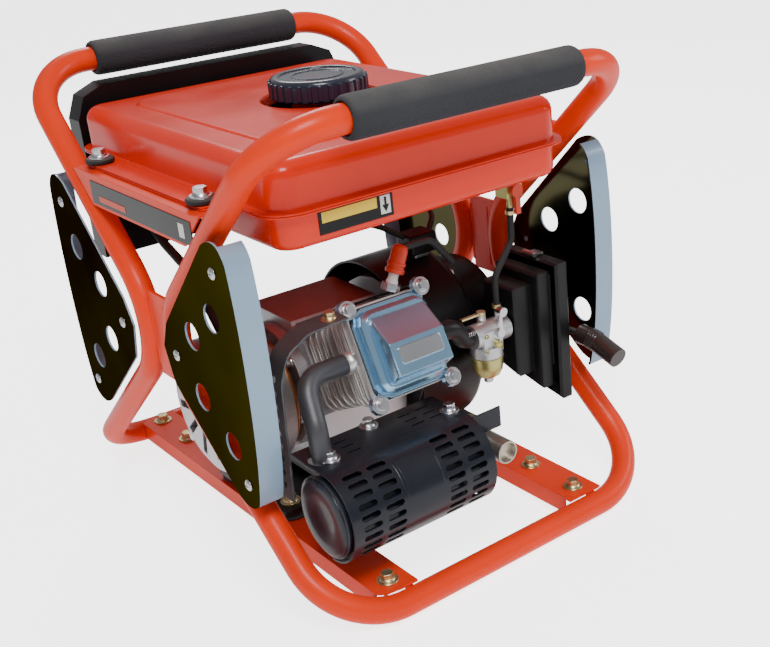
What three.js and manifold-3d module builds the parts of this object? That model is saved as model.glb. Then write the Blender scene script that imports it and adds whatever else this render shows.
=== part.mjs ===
// Open-frame portable generator. Millimetres, +Z up, front (engine head and muffler) faces -Y,
// recoil starter at +X, alternator at -X. The origin is on the ground under the frame's middle.
import * as THREE from "three";
import { mergeVertices } from "three/addons/utils/BufferGeometryUtils.js";
import Module from "manifold-3d";

const wasm = await Module();
wasm.setup();

// ---------- driving dimensions ----------
const GAP = 0.3; // clearance between neighbouring pieces
const WALL = 2; // pressed sheet and moulded walls

const TUBE_R = 12.5; // 25 mm round frame tube
const TUBE_SIDES = 10;
const RAIL = { x: 196.1, y: 259.5, z: TUBE_R, bend: 74.3 }; // bottom rails
const WAIST = { x: 199.2, y: -9.9, z: 229.7, bend: 73.6 }; // where the end legs turn back
const HANDLE = { x: 195.6, y: 246.8, z: 460, bend: 65.9 }; // top bars
const BEND_STEPS = 5;

const GRIP_HALF = 123; // foam grip half length
const GRIP_R = 18.5;

const GUARD_X = 213; // inner side of the side guards' face sheet
const GUARD_T = 2;
const GUARD_RIM = 22;

const TANK = { x0: -168, x1: 152, y: 200, bottom: 346, seam: 380, top: 425, corner: 24 };
const CAP = { x: 8, y: 4, r: 50, top: 447 };

const CRANK = { x: -43, y: -20, z: 149 }; // cylinder plane and crank axis
const LEAN = THREE.MathUtils.degToRad(25); // cylinder leans back from horizontal
const BORE_R = 31;
const THROW = 27;
const ROD_LENGTH = 80; // crankpin to wrist pin, where the piston sits
const BARREL = { base: 60, deck: 130 }; // along the cylinder, from the crank axis
const HEAD_TOP = 163;

const MUFFLER = { x0: -172, x1: -2, y: -210, z: 102, r: 42 };
const CHANNEL_X = { left: -127, right: 108 };
const CHANNEL = { half: 21, t: 2.5, skirt: 9 };
const BOX = { x: 163, y0: 212, y1: 240, z0: 252, z1: 438 }; // control box
const GRIP_AXIS = { x: 175, z: 164 }; // the starter rope's line, along -Y
const FILTER_X = [106, 128, 147, 164]; // base, case and cover faces of the air filter

const ROCKER_TILT = 8; // degrees either side of square, here with its lower end pressed

// ---------- finishes ----------
const FINISH = {
  paint: [0xe0330d, 0.35, 0.1],
  foam: [0x3a3a3d, 0.95, 0],
  guard: [0x9fb0bd, 0.3, 0.4],
  tank: [0xe2300e, 0.2, 0.1],
  black: [0x101114, 0.35, 0],
  rubber: [0x17171a, 0.9, 0],
  cast: [0xa9adb2, 0.5, 0.8],
  cover: [0x8fb4cf, 0.35, 0.9],
  steel: [0x8c9096, 0.35, 0.9],
  exhaust: [0x5c5e63, 0.6, 0.7],
  shield: [0x15171c, 0.45, 0.3],
  copper: [0x9a5528, 0.4, 0.7],
  brass: [0xb6a24a, 0.4, 0.8],
  lead: [0xc8371c, 0.5, 0],
  cap: [0x12182c, 0.4, 0.1],
  grey: [0x6d7278, 0.5, 0.1],
};

// ---------- solids ----------
// A closed three.js geometry as a manifold solid, with its faces turned outwards.
function solidOf(geometry, tolerance = 1e-4) {
  const bare = geometry.clone();
  bare.deleteAttribute("normal");
  bare.deleteAttribute("uv");
  const merged = mergeVertices(bare, tolerance);
  const index = merged.index.array;
  const build = (flip) => {
    const tris = [];
    for (let i = 0; i < index.length; i += 3) {
      const [a, b, c] = [index[i], index[i + 1], index[i + 2]];
      if (a !== b && b !== c && c !== a) tris.push(a, flip ? c : b, flip ? b : c);
    }
    const vertProperties = merged.attributes.position.array;
    const triVerts = new Uint32Array(tris);
    return new wasm.Manifold(new wasm.Mesh({ numProp: 3, vertProperties, triVerts }));
  };
  const made = build(false);
  return made.volume() < 0 ? build(true) : made;
}

const join = (first, ...rest) => rest.reduce((whole, piece) => whole.add(piece), first);
const cut = (first, ...tools) => tools.reduce((whole, tool) => whole.subtract(tool), first);

// Turns a solid made along +Z so that it lies along the named axis.
const ALONG = {
  x: new THREE.Matrix4().makeBasis(
    new THREE.Vector3(0, 1, 0),
    new THREE.Vector3(0, 0, 1),
    new THREE.Vector3(1, 0, 0),
  ),
  y: new THREE.Matrix4().makeBasis(
    new THREE.Vector3(0, 0, 1),
    new THREE.Vector3(1, 0, 0),
    new THREE.Vector3(0, 1, 0),
  ),
  z: new THREE.Matrix4(),
};

// The cylinder's own frame: X across, Y up the head face, Z along the cylinder away from the crank.
const LEANING = new THREE.Matrix4()
  .makeBasis(
    new THREE.Vector3(1, 0, 0),
    new THREE.Vector3(0, Math.sin(LEAN), Math.cos(LEAN)),
    new THREE.Vector3(0, -Math.cos(LEAN), Math.sin(LEAN)),
  )
  .setPosition(CRANK.x, CRANK.y, CRANK.z);

function block(x0, x1, y0, y1, z0, z1, matrix) {
  const box = new THREE.BoxGeometry(x1 - x0, y1 - y0, z1 - z0);
  box.translate((x0 + x1) / 2, (y0 + y1) / 2, (z0 + z1) / 2);
  if (matrix) box.applyMatrix4(matrix);
  return solidOf(box);
}

// A round bar from one end to the other along an axis; centre gives the other two coordinates.
function bar(axis, from, to, centre, radius, sides = 12, endRadius = radius, matrix) {
  const round = new THREE.CylinderGeometry(endRadius, radius, to - from, sides);
  round.rotateX(Math.PI / 2);
  round.translate(0, 0, (from + to) / 2);
  round.applyMatrix4(ALONG[axis]);
  const [a, b] = centre;
  if (axis === "x") round.translate(0, a, b);
  if (axis === "y") round.translate(a, 0, b);
  if (axis === "z") round.translate(a, b, 0);
  if (matrix) round.applyMatrix4(matrix);
  return solidOf(round);
}

// A turned piece: profile points [radius, height along the axis].
function turned(axis, centre, profile, sides = 20) {
  const points = profile.map(([r, h]) => new THREE.Vector2(r, h));
  const lathe = new THREE.LatheGeometry(points, sides);
  lathe.rotateX(Math.PI / 2);
  lathe.applyMatrix4(ALONG[axis]);
  const [a, b] = centre;
  if (axis === "x") lathe.translate(0, a, b);
  if (axis === "y") lathe.translate(a, 0, b);
  if (axis === "z") lathe.translate(a, b, 0);
  return solidOf(lathe);
}

// A straight extrusion of an outline along an axis. Along x the outline is drawn in (y, z),
// along y in (z, x) and along z in (x, y).
function prism(axis, outline, from, to, bevel = 0, matrix) {
  const round = bevel > 0;
  const geometry = new THREE.ExtrudeGeometry(outline, {
    depth: to - from - 2 * bevel,
    bevelEnabled: round,
    bevelSize: bevel,
    bevelThickness: bevel,
    bevelOffset: -bevel,
    bevelSegments: 1,
    curveSegments: 1,
  });
  geometry.translate(0, 0, from + bevel);
  geometry.applyMatrix4(ALONG[axis]);
  if (matrix) geometry.applyMatrix4(matrix);
  return solidOf(geometry);
}

function polygon(points) {
  return new THREE.Shape(points.map(([a, b]) => new THREE.Vector2(a, b)));
}

function roundedRect(a0, a1, b0, b1, r) {
  const shape = new THREE.Shape();
  shape.moveTo(a0 + r, b0);
  shape.lineTo(a1 - r, b0);
  shape.absarc(a1 - r, b0 + r, r, -Math.PI / 2, 0);
  shape.lineTo(a1, b1 - r);
  shape.absarc(a1 - r, b1 - r, r, 0, Math.PI / 2);
  shape.lineTo(a0 + r, b1);
  shape.absarc(a0 + r, b1 - r, r, Math.PI / 2, Math.PI);
  shape.lineTo(a0, b0 + r);
  shape.absarc(a0 + r, b0 + r, r, Math.PI, 1.5 * Math.PI);
  return shape;
}

// ---------- bent tubes ----------
// Stations along a polyline whose corners are rounded to the given radii.
function bentStations(corners, steps = BEND_STEPS) {
  const stations = [];
  corners.forEach(({ at, bend }, i) => {
    if (!bend) {
      stations.push(at.clone());
      return;
    }
    const back = corners[i - 1].at.clone().sub(at).normalize();
    const ahead = corners[i + 1].at.clone().sub(at).normalize();
    const half = back.angleTo(ahead) / 2;
    const centre = back.clone().add(ahead).normalize().multiplyScalar(bend / Math.sin(half)).add(at);
    const reach = bend / Math.tan(half);
    const from = at.clone().addScaledVector(back, reach).sub(centre);
    const to = at.clone().addScaledVector(ahead, reach).sub(centre);
    const sweep = Math.PI - 2 * half;
    for (let k = 0; k <= steps; k++) {
      const turn = (k / steps) * sweep;
      const spoke = from.clone().multiplyScalar(Math.sin(sweep - turn) / Math.sin(sweep));
      spoke.addScaledVector(to, Math.sin(turn) / Math.sin(sweep));
      stations.push(spoke.add(centre));
    }
  });
  return stations;
}

// A path that puts one tube section at each station.
class StationPath extends THREE.Curve {
  constructor(stations) {
    super();
    this.stations = stations;
  }
  getPointAt(u, target = new THREE.Vector3()) {
    const last = this.stations.length - 1;
    return target.copy(this.stations[Math.round(u * last)]);
  }
  getTangentAt(u, target = new THREE.Vector3()) {
    const last = this.stations.length - 1;
    const i = Math.round(u * last);
    const before = this.stations[Math.max(i - 1, 0)];
    const after = this.stations[Math.min(i + 1, last)];
    return target.copy(after).sub(before).normalize();
  }
}

// The sweep of a round section whose flats, not its corners, stand at the tube's radius.
function sweptSection(stations, radius, sides) {
  const section = new THREE.Shape();
  for (let k = 0; k < sides; k++) {
    const angle = ((k + 0.5) / sides) * 2 * Math.PI;
    const reach = radius / Math.cos(Math.PI / sides);
    const [a, b] = [reach * Math.cos(angle), reach * Math.sin(angle)];
    if (k === 0) section.moveTo(a, b);
    else section.lineTo(a, b);
  }
  return new THREE.ExtrudeGeometry(section, {
    steps: stations.length - 1,
    extrudePath: new StationPath(stations),
  });
}

const tube = (stations, radius, sides = 8) => solidOf(sweptSection(stations, radius, sides));

// A tube whose last station is its first: the two end caps are left out and the rings meet.
function closedTube(stations, radius, sides) {
  const swept = sweptSection(stations, radius, sides);
  const walls = swept.groups[1];
  const from = 3 * walls.start;
  const corners = swept.getAttribute("position").array.slice(from, from + 3 * walls.count);
  const ring = new THREE.BufferGeometry();
  ring.setAttribute("position", new THREE.BufferAttribute(corners, 3));
  return solidOf(ring, 1e-2);
}

const corner = (x, y, z, bend) => ({ at: new THREE.Vector3(x, y, z), bend });

// ---------- the assembly ----------
const generator = new THREE.Group();

function piece(name, solid, finish) {
  const mesh = solid.getMesh();
  const geometry = new THREE.BufferGeometry();
  geometry.setAttribute("position", new THREE.BufferAttribute(mesh.vertProperties, 3));
  geometry.setIndex(new THREE.BufferAttribute(mesh.triVerts, 1));
  geometry.computeVertexNormals();
  const [color, roughness, metalness] = FINISH[finish];
  const made = new THREE.Mesh(
    geometry,
    new THREE.MeshStandardMaterial({ color, roughness, metalness }),
  );
  made.name = name;
  generator.add(made);
}

// How far from the middle plane the end legs' centre line is at a height.
function legY(z) {
  const upper = z > WAIST.z;
  const end = upper ? HANDLE : RAIL;
  return WAIST.y + ((end.y - WAIST.y) * (z - WAIST.z)) / (end.z - WAIST.z);
}

// ---------- frame ----------
function loopTube(side, radius) {
  const end = (x) => [
    corner(x * RAIL.x, side * RAIL.y, RAIL.z, RAIL.bend),
    corner(x * WAIST.x, side * WAIST.y, WAIST.z, WAIST.bend),
    corner(x * HANDLE.x, side * HANDLE.y, HANDLE.z, HANDLE.bend),
  ];
  const middle = corner(0, side * RAIL.y, RAIL.z);
  const stations = bentStations([middle, ...end(-1), ...end(1).reverse(), middle]);
  return closedTube(stations, radius, TUBE_SIDES);
}

function frameLoop(side) {
  const loop = loopTube(side, TUBE_R);
  return side < 0 ? join(loop, waistGusset(-1), waistGusset(1)) : loop;
}

function foamGrip(side) {
  const bore = 13.8;
  const soft = 3; // rounded ends
  return turned("x", [side * HANDLE.y, HANDLE.z], [
    [bore, -GRIP_HALF],
    [GRIP_R - soft, -GRIP_HALF],
    [GRIP_R, -GRIP_HALF + soft],
    [GRIP_R, GRIP_HALF - soft],
    [GRIP_R - soft, GRIP_HALF],
    [bore, GRIP_HALF],
    [bore, -GRIP_HALF],
  ], 16);
}

// Sheet in the gap between the two loops at the waist, welded to the front one.
function waistGusset(end) {
  const rear = 17;
  const web = polygon([
    [-24, 274],
    [-24, 186],
    [rear, 186],
    [rear, 274],
  ]);
  const at = end * WAIST.x;
  return prism("x", web, at - WALL, at + WALL);
}

// Trapezoid plate high between the legs, with a shelf folded in for the tank's flange.
function endPlate(end) {
  const [low, high] = [345, 377.7];
  const tubeReach = 19.5;
  const face = polygon([
    [-(legY(low) - tubeReach), low],
    [legY(low) - tubeReach, low],
    [legY(high) - tubeReach, high],
    [-(legY(high) - tubeReach), high],
  ]);
  const outer = end * 206;
  const inner = end * (206 - WALL);
  const plate = prism("x", face, Math.min(outer, inner), Math.max(outer, inner));
  const depth = end < 0 ? -TANK.x0 + 2 : TANK.x1 + 2;
  const shelfHalf = legY(high) - tubeReach - 5;
  const shelf = block(
    Math.min(end * depth, outer), Math.max(end * depth, outer),
    -shelfHalf, shelfHalf, high - WALL, high,
  );
  const screws = [-108, 108].map((y) =>
    bar("z", high - 5, high + 1, [end * 187.5, y], 3.6, 10),
  );
  return cut(join(plate, shelf), ...screws);
}

// Inverted channel across the rails: the top sheet laps onto both rails.
function baseChannel(at) {
  const lap = RAIL.y - 5;
  const skirtEnd = RAIL.y - TUBE_R - 1.5;
  const low = 2 * TUBE_R + GAP;
  const top = block(at - CHANNEL.half, at + CHANNEL.half, -lap, lap, low, low + CHANNEL.t);
  const skirts = [-1, 1].map((s) => {
    const inner = at + s * (CHANNEL.half - CHANNEL.t);
    const outer = at + s * CHANNEL.half;
    return block(
      Math.min(inner, outer), Math.max(inner, outer),
      -skirtEnd, skirtEnd, CHANNEL.skirt, low + CHANNEL.t,
    );
  });
  const holes = [-1, 1].map((s) => bar("z", low - 4, low + 6, [at, s * 170], 4.2, 10));
  const clearance = [-1, 1].map((side) => loopTube(side, TUBE_R + GAP + 0.1));
  return cut(join(top, ...skirts), ...holes, ...clearance);
}

// Pressed side guard outside one quarter of an end: face sheet, rim turned in along its outer edge.
function sideGuard(end, side) {
  const outline = (inset) => {
    const s = new THREE.Shape();
    const outer = 196 - inset;
    s.moveTo(34, 236);
    s.lineTo(44, 200);
    s.lineTo(136, 124);
    s.quadraticCurveTo(160, 104, 181 - inset, 122 + inset);
    s.quadraticCurveTo(outer - 3, 160, outer - 1, 231);
    s.quadraticCurveTo(outer + 1, 300, 189 - inset, 350 - inset);
    s.quadraticCurveTo(178, 376 - inset, 150, 360);
    s.lineTo(48, 262);
    return s;
  };
  const mirrored = (shape) => {
    const points = shape.getPoints(3).map((p) => new THREE.Vector2(side * p.x, p.y));
    return new THREE.Shape(side < 0 ? points.reverse() : points);
  };
  const faceOut = end * (GUARD_X + GUARD_T);
  const faceIn = end * GUARD_X;
  const rimIn = end * (GUARD_X - GUARD_RIM);
  const span = (a, b) => [Math.min(a, b), Math.max(a, b)];
  const whole = prism("x", mirrored(outline(0)), ...span(faceOut, rimIn));
  const hollow = prism("x", mirrored(outline(GUARD_T)), ...span(faceIn, rimIn - end * 2));
  const openSide = prism("x", mirrored(polygon([
    [20, 90],
    [150, 90],
    [178, 108],
    [178, 372],
    [140, 380],
    [20, 380],
  ])), ...span(faceIn, rimIn - end * 2));
  const eyes = [[147, 293], [101, 263.5], [101, 203.5], [148, 170.5]].map(([y, z]) =>
    bar("x", ...span(faceIn - end * 3, faceOut + end * 3), [side * y, z], 13.5, 12),
  );
  const screwHoles = [[164, 338], [60, 233], [166, 138]].map(([y, z]) =>
    bar("x", ...span(faceIn - end * 3, faceOut + end * 3), [side * y, z], 3.2, 8),
  );
  return cut(whole, hollow, openSide, ...eyes, ...screwHoles);
}

// ---------- fuel tank ----------
function tankPlan(inset) {
  return roundedRect(
    TANK.x0 + inset, TANK.x1 - inset, -TANK.y + inset, TANK.y - inset,
    TANK.corner - Math.min(inset, 10),
  );
}

function tankFlange(from, to) {
  const lip = prism("z", tankPlan(-6), from, to);
  const ears = [-1, 1].map((end) =>
    block(
      Math.min(end * 196, end * 140), Math.max(end * 196, end * 140), -122, 122, from, to,
    ),
  );
  return join(lip, ...ears);
}

function earHoles(from, to) {
  return [-1, 1].flatMap((end) =>
    [-108, 108].map((y) => bar("z", from - 2, to + 2, [end * 187.5, y], 3.6, 10)),
  );
}

function tankLower() {
  const seam = TANK.seam - GAP / 2;
  const outside = cut(
    prism("z", tankPlan(3), TANK.bottom, seam + 20, 7),
    block(-300, 300, -300, 300, seam, seam + 40),
  );
  const inside = prism("z", tankPlan(3 + WALL), TANK.bottom + WALL, seam + 30, 6);
  const tapHole = bar("z", TANK.bottom - 5, TANK.bottom + 10, [118, -150], 6, 12);
  const body = join(outside, tankFlange(seam - WALL + 0.2, seam));
  return cut(body, inside, tapHole, ...earHoles(seam - WALL, seam));
}

function tankUpper() {
  const seam = TANK.seam + GAP / 2;
  const below = (z) => block(-300, 300, -300, 300, z - 60, z);
  const outside = cut(prism("z", tankPlan(2), seam - 40, TANK.top, 14), below(seam));
  const inside = prism("z", tankPlan(2 + WALL), seam - 40, TANK.top - WALL, 13);
  const centre = [CAP.x, CAP.y];
  const well = bar("z", TANK.top - 12, TANK.top - 1, centre, CAP.r + 14, 20);
  const recess = bar("z", TANK.top - 10, TANK.top + 5, centre, CAP.r + 8, 24, CAP.r + 12);
  const neck = bar("z", TANK.top - 12, TANK.top + 8, centre, 29, 16);
  const mouth = bar("z", TANK.top - 30, TANK.top + 20, centre, 26.5, 16);
  const shell = cut(join(outside, tankFlange(seam, seam + WALL - 0.2)), inside);
  const dished = join(cut(join(shell, well), recess), neck);
  return cut(dished, mouth, ...earHoles(seam, seam + WALL));
}

function capGasket() {
  const low = TANK.top + 8 + GAP;
  return turned("z", [CAP.x, CAP.y], [
    [23, low],
    [28.8, low],
    [28.8, low + 2.4],
    [23, low + 2.4],
    [23, low],
  ], 24);
}

function fuelCap() {
  const low = TANK.top + 1;
  const ceiling = TANK.top + 11.2;
  const top = CAP.top;
  return turned("z", [CAP.x, CAP.y], [
    [0, ceiling],
    [30.5, ceiling],
    [30.5, low],
    [CAP.r, low],
    [CAP.r, top - 5],
    [CAP.r - 3, top],
    [40, top],
    [38, top - 1.5],
    [0, top - 1.5],
  ], 24);
}

// Fuel tap below the tank, its outlet turned down to the hose.
const TAP = { x: 118, y: -150, z: 330 };

function fuelTap() {
  return join(
    bar("z", TAP.z - 8, TANK.bottom + 6, [TAP.x, TAP.y], 5.6, 12),
    block(TAP.x - 10, TAP.x + 10, TAP.y - 9, TAP.y + 9, TAP.z - 8, TAP.z + 8),
    bar("z", TAP.z - 20, TAP.z - 6, [TAP.x, TAP.y], 2.6, 8),
  );
}

function fuelTapLever() {
  const face = TAP.y - 9 - GAP;
  return join(
    bar("y", face - 5, face, [TAP.x, TAP.z], 7, 14),
    block(TAP.x - 3, TAP.x + 3, face - 5, face - 1, TAP.z - 24, TAP.z),
  );
}

// ---------- engine ----------
const CARB = { x: 77, y: -148, z: 186 };

function crankcase() {
  const section = polygon([
    [-80, 50], [50, 50], [62, 72], [62, 190], [30, 224], [-50, 224],
    [-55.6, 214.6], [-92.8, 134.9], [-86, 100],
  ]);
  const right = 12;
  const body = prism("x", section, -90, right);
  const feet = [-70, 44].map((y) => block(-88, 10, y - 12, y + 12, 42, 56));
  const chamber = bar("x", -100, right - 8, [CRANK.y, CRANK.z], 48, 20);
  const bore = bar("z", 0, BARREL.base + 5, [0, 0], BORE_R + 2, 24, BORE_R + 2, LEANING);
  const bearing = bar("x", -20, right + 5, [CRANK.y, CRANK.z], 12.6, 16);
  const filler = bar("y", 16, 80, [-40, 92], 9.6, 12);
  return cut(join(body, ...feet), chamber, bore, bearing, filler);
}

function sideCover() {
  const left = -103;
  const plate = bar("x", left, -90 - GAP, [CRANK.y, CRANK.z], 66, 20);
  const boss = bar("x", left - 4, left + 1, [CRANK.y, CRANK.z], 30, 14);
  const spigot = bar("x", left + 2, -84, [CRANK.y, CRANK.z], 47.4, 20);
  const bearing = bar("x", left - 10, -80, [CRANK.y, CRANK.z], 12.6, 16);
  return cut(join(plate, boss, spigot), bearing);
}

function cylinder() {
  const [base, deck] = [BARREL.base + GAP, BARREL.deck - GAP];
  const core = bar("z", base, deck, [0, 0], 38, 12, 38, LEANING);
  const foot = prism("z", roundedRect(-42, 42, -42, 42, 8), base, base + 7, 0, LEANING);
  const fins = [0, 1, 2, 3].map((k) => {
    const at = base + 15 + k * 13;
    return prism("z", roundedRect(-44, 44, -44, 44, 16), at, at + 3, 0, LEANING);
  });
  const deckPlate = prism("z", roundedRect(-42, 42, -42, 42, 12), deck - 5, deck, 0, LEANING);
  const bore = bar("z", base - 2, deck + 2, [0, 0], BORE_R, 20, BORE_R, LEANING);
  return cut(join(core, foot, ...fins, deckPlate), bore);
}

function cylinderHead() {
  const base = BARREL.deck + GAP;
  const lower = prism("z", roundedRect(-40, 40, -42, 42, 10), base, HEAD_TOP - 2, 0, LEANING);
  const fins = [0, 1].map((k) => {
    const at = base + 5 + k * 9;
    return prism("z", roundedRect(-45, 45, -47, 47, 12), at, at + 3, 0, LEANING);
  });
  const rim = prism("z", roundedRect(-43, 43, -46, 46, 10), HEAD_TOP - 5, HEAD_TOP, 0, LEANING);
  const well = roundedRect(-32, 32, -36, 36, 8);
  const rockerWell = prism("z", well, HEAD_TOP - 18, HEAD_TOP + 3, 0, LEANING);
  const chamber = bar("z", base - 2, base + 6, [0, 0], 26, 20, 14, LEANING);
  const ports = join(
    bar("x", 30, 50, [0, 146], 11, 14, 11, LEANING),
    bar("x", -52, -30, [0, 146], 11, 14, 11, LEANING),
  );
  return cut(join(lower, ...fins, rim, ports), rockerWell, chamber);
}

// Pressed valve cover: flange with four corner lugs and a raised box with a sloping upper face.
function valveCover() {
  const base = HEAD_TOP + GAP;
  const flange = prism("z", roundedRect(-41, 41, -44, 44, 14), base, base + 4, 0, LEANING);
  const lugs = [[-1, -1], [-1, 1], [1, -1], [1, 1]].map(([a, b]) =>
    bar("z", base, base + 5, [a * 42, b * 46], 10, 10, 9, LEANING),
  );
  const skirt = prism("z", roundedRect(-38, 38, -40, 40, 12), base + 2, base + 16, 4, LEANING);
  const crown = prism("x", polygon([
    [-34, base + 10], [34, base + 10], [31, base + 16], [4, base + 34], [-27, base + 34],
  ]), -30, 34, 2, LEANING);
  const hollow = prism("z", roundedRect(-30, 30, -31, 31, 8), base - 2, base + 13, 0, LEANING);
  const holes = [[-1, -1], [-1, 1], [1, -1], [1, 1]].map(([a, b]) =>
    bar("z", base - 3, base + 8, [a * 42, b * 46], 3.4, 8, 3.4, LEANING),
  );
  return cut(join(flange, ...lugs, skirt, crown), hollow, ...holes);
}

function piston() {
  const pin = THROW + ROD_LENGTH;
  const body = bar("z", pin - 14, pin + 21, [0, 0], BORE_R - 0.4, 20, BORE_R - 0.4, LEANING);
  const cup = bar("z", pin - 16, pin + 14, [0, 0], 25, 14, 25, LEANING);
  const wristPin = bar("x", -28, 28, [0, pin], 7, 14, 7, LEANING);
  return join(cut(body, cup), wristPin);
}

function crankshaft() {
  const axis = [CRANK.y, CRANK.z];
  const pinAt = [CRANK.y - THROW * Math.cos(LEAN), CRANK.z + THROW * Math.sin(LEAN)];
  return join(
    bar("x", -180, CRANK.x - 12, axis, 12, 16),
    bar("x", CRANK.x - 22, CRANK.x - 11, axis, 41, 20),
    bar("x", CRANK.x - 14, CRANK.x + 14, pinAt, 13, 20),
    bar("x", CRANK.x + 11, CRANK.x + 22, axis, 41, 20),
    bar("x", CRANK.x + 12, 84, axis, 12, 16),
  );
}

function flywheel() {
  const axis = [CRANK.y, CRANK.z];
  const disc = turned("x", axis, [
    [12.4, 22], [30, 30], [80, 30], [80, 50], [62, 50], [60, 40], [34, 40], [32, 60],
    [12.4, 60], [12.4, 22],
  ], 20);
  const blades = Array.from({ length: 8 }, (_, k) => {
    const turn = new THREE.Matrix4()
      .makeRotationX((k / 8) * 2 * Math.PI)
      .setPosition(0, CRANK.y, CRANK.z);
    return block(48, 68, -1.5, 1.5, 52, 78, turn);
  });
  return join(disc, ...blades);
}

function blowerShroud() {
  const axis = [CRANK.y, CRANK.z];
  const cup = turned("x", axis, [
    [100, 16], [100, 88], [88, 100], [62, 100], [62, 98], [86, 98], [98, 86], [98, 16],
    [100, 16],
  ], 24);
  return join(cup, airGuide());
}

// Sheet over the barrel that guides the fan's air between the fins.
function airGuide() {
  const top = 50;
  return block(-46, 61.5, top, top + 1.6, 66, 129, LEANING);
}

function recoilCover() {
  const axis = [CRANK.y, CRANK.z];
  const cup = turned("x", axis, [
    [80, 100 + GAP], [80, 104], [76, 106], [74, 146], [62, 158], [0, 158], [0, 155.5],
    [61, 155.5], [71.5, 145], [73.5, 100 + GAP], [80, 100 + GAP],
  ], 20);
  const vents = Array.from({ length: 6 }, (_, k) => {
    const turn = new THREE.Matrix4()
      .makeRotationX((k / 6) * 2 * Math.PI)
      .setPosition(0, CRANK.y, CRANK.z);
    return block(150, 165, -4, 4, 24, 52, turn);
  });
  return join(cut(cup, ...vents), ropeGuide());
}

// Arm on the recoil cover's face that carries the eye the starter rope runs through.
function ropeGuide() {
  const { x, z } = GRIP_AXIS;
  const arm = join(
    block(156, 164, -72, -40, z - 12, z + 12),
    block(160, 172, -98, -60, z - 10, z + 10),
    bar("y", -116, -90, [x, z], 9, 14),
  );
  return cut(arm, bar("y", -120, -80, [x, z], 4.8, 12));
}

function starterReel() {
  return turned("x", [CRANK.y, CRANK.z], [
    [4, 112], [54, 112], [54, 115], [46, 117], [46, 125], [54, 127], [54, 130], [4, 130],
    [4, 112],
  ], 16);
}

function recoilGrip() {
  const { x, z } = GRIP_AXIS;
  const grip = tube(bentStations([
    corner(x, -186, z),
    corner(x, -206, z - 1, 40),
    corner(x, -240, z - 12),
  ], 3), 11, 10);
  return join(grip, bar("y", -190, -104, [x, z], 4, 10));
}

function sparkPlug() {
  const root = new THREE.Matrix4()
    .makeRotationFromEuler(new THREE.Euler(0, THREE.MathUtils.degToRad(24), 0))
    .setPosition(-24, -134, 258.5);
  return join(
    bar("z", 0, 10, [0, 0], 9.5, 6, 9.5, root),
    bar("z", 9, 34, [0, 0], 5, 12, 4, root),
  );
}

function plugCap() {
  const root = new THREE.Matrix4()
    .makeRotationFromEuler(new THREE.Euler(0, THREE.MathUtils.degToRad(24), 0))
    .setPosition(-24, -134, 258.5);
  const boot = bar("z", 18, 46, [0, 0], 9.5, 14, 8, root);
  const socket = bar("z", 10, 35, [0, 0], 5.6, 12, 5.6, root);
  const lead = tube(bentStations([
    corner(-3, -134, 297),
    corner(30, -132, 296, 18),
    corner(62, -122, 262),
  ], 4), 3.5, 8);
  return join(cut(boot, socket), lead);
}

// ---------- intake ----------
function intakeElbow() {
  const start = 10;
  return tube(bentStations([
    corner(start, -152, 207),
    corner(34, -152, 207, 20),
    corner(46, -149, 190, 10),
    corner(54, -148, CARB.z + 1),
  ], 3), 10, 10);
}

function carburettor() {
  const c = CARB;
  return join(
    bar("x", c.x - 18, c.x + 26, [c.y, c.z], 13, 16),
    block(c.x - 12, c.x + 12, c.y - 13, c.y + 13, c.z - 18, c.z + 6),
    bar("z", c.z + 6, c.z + 18, [c.x, c.y + 5], 5, 10),
    bar("z", c.z - 24, c.z - 12, [c.x, c.y], 17, 18),
    bar("z", c.z, c.z + 20, [c.x + 17, c.y], 3, 8),
  );
}

function fuelHose() {
  const [x, y, z] = [CARB.x + 17, CARB.y, CARB.z + 20 + GAP];
  return tube(bentStations([
    corner(TAP.x, TAP.y, TAP.z - 20 - GAP),
    corner(TAP.x, TAP.y, 276, 22),
    corner(x, y, 242, 22),
    corner(x, y, z),
  ], 3), 3.5, 8);
}

function floatBowl() {
  const c = CARB;
  const top = c.z - 24 - GAP;
  const bowl = [[0, top - 22], [11, top - 22], [16.5, top - 14], [16.5, top], [0, top]];
  return join(
    turned("z", [c.x, c.y], bowl, 18),
    bar("z", top - 28, top - 20, [c.x, c.y], 5, 6),
  );
}

function chokeLever() {
  const c = CARB;
  const face = c.y - 13 - GAP;
  return join(
    bar("y", face - 4, face, [c.x + 8, c.z + 2], 5, 12),
    block(c.x + 6, c.x + 10, face - 4, face - 1.5, c.z, c.z + 26),
    bar("y", face - 9, face - 1.5, [c.x + 8, c.z + 26], 5, 10),
  );
}

function throttleArm() {
  const c = CARB;
  const low = c.z + 18 + GAP;
  return join(
    bar("z", low, low + 4, [c.x, c.y + 5], 5, 12),
    block(c.x - 26, c.x, c.y + 3, c.y + 7, low + 1, low + 3),
  );
}

// Air filter: base plate by the carburettor, deeper case, and a larger cover outside.
function filterShell(from, to, y0, y1, z0, z1, openAt) {
  const drop = 14; // the bottom slopes down towards the front
  const outline = (inset) => polygon([
    [y0 + inset, z0 + inset],
    [y1 - inset, z0 + drop + inset],
    [y1 - inset, z1 - inset],
    [y0 + inset, z1 - inset],
  ]);
  const whole = prism("x", outline(0), from, to, 2.5);
  const hollow = prism("x", outline(WALL + 0.6), ...openAt);
  return cut(whole, hollow);
}

function filterBase() {
  const [a, b, c] = FILTER_X;
  const lap = 3;
  const inlet = filterShell(a, b + lap, -162, -112, 130, 228, [a + WALL, b + 9]);
  const box = filterShell(b, c - GAP, -173, -106, 112, 240, [b + WALL, c + 5]);
  const opening = block(b - 3, b + 5, -155, -120, 155, 215);
  return cut(join(inlet, box), opening, bar("x", a - 4, a + 6, [CARB.y, CARB.z], 11, 14));
}

function filterElement() {
  const [, b, c] = FILTER_X;
  return block(b + 3, c + 6, -166, -114, 130, 232);
}

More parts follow.
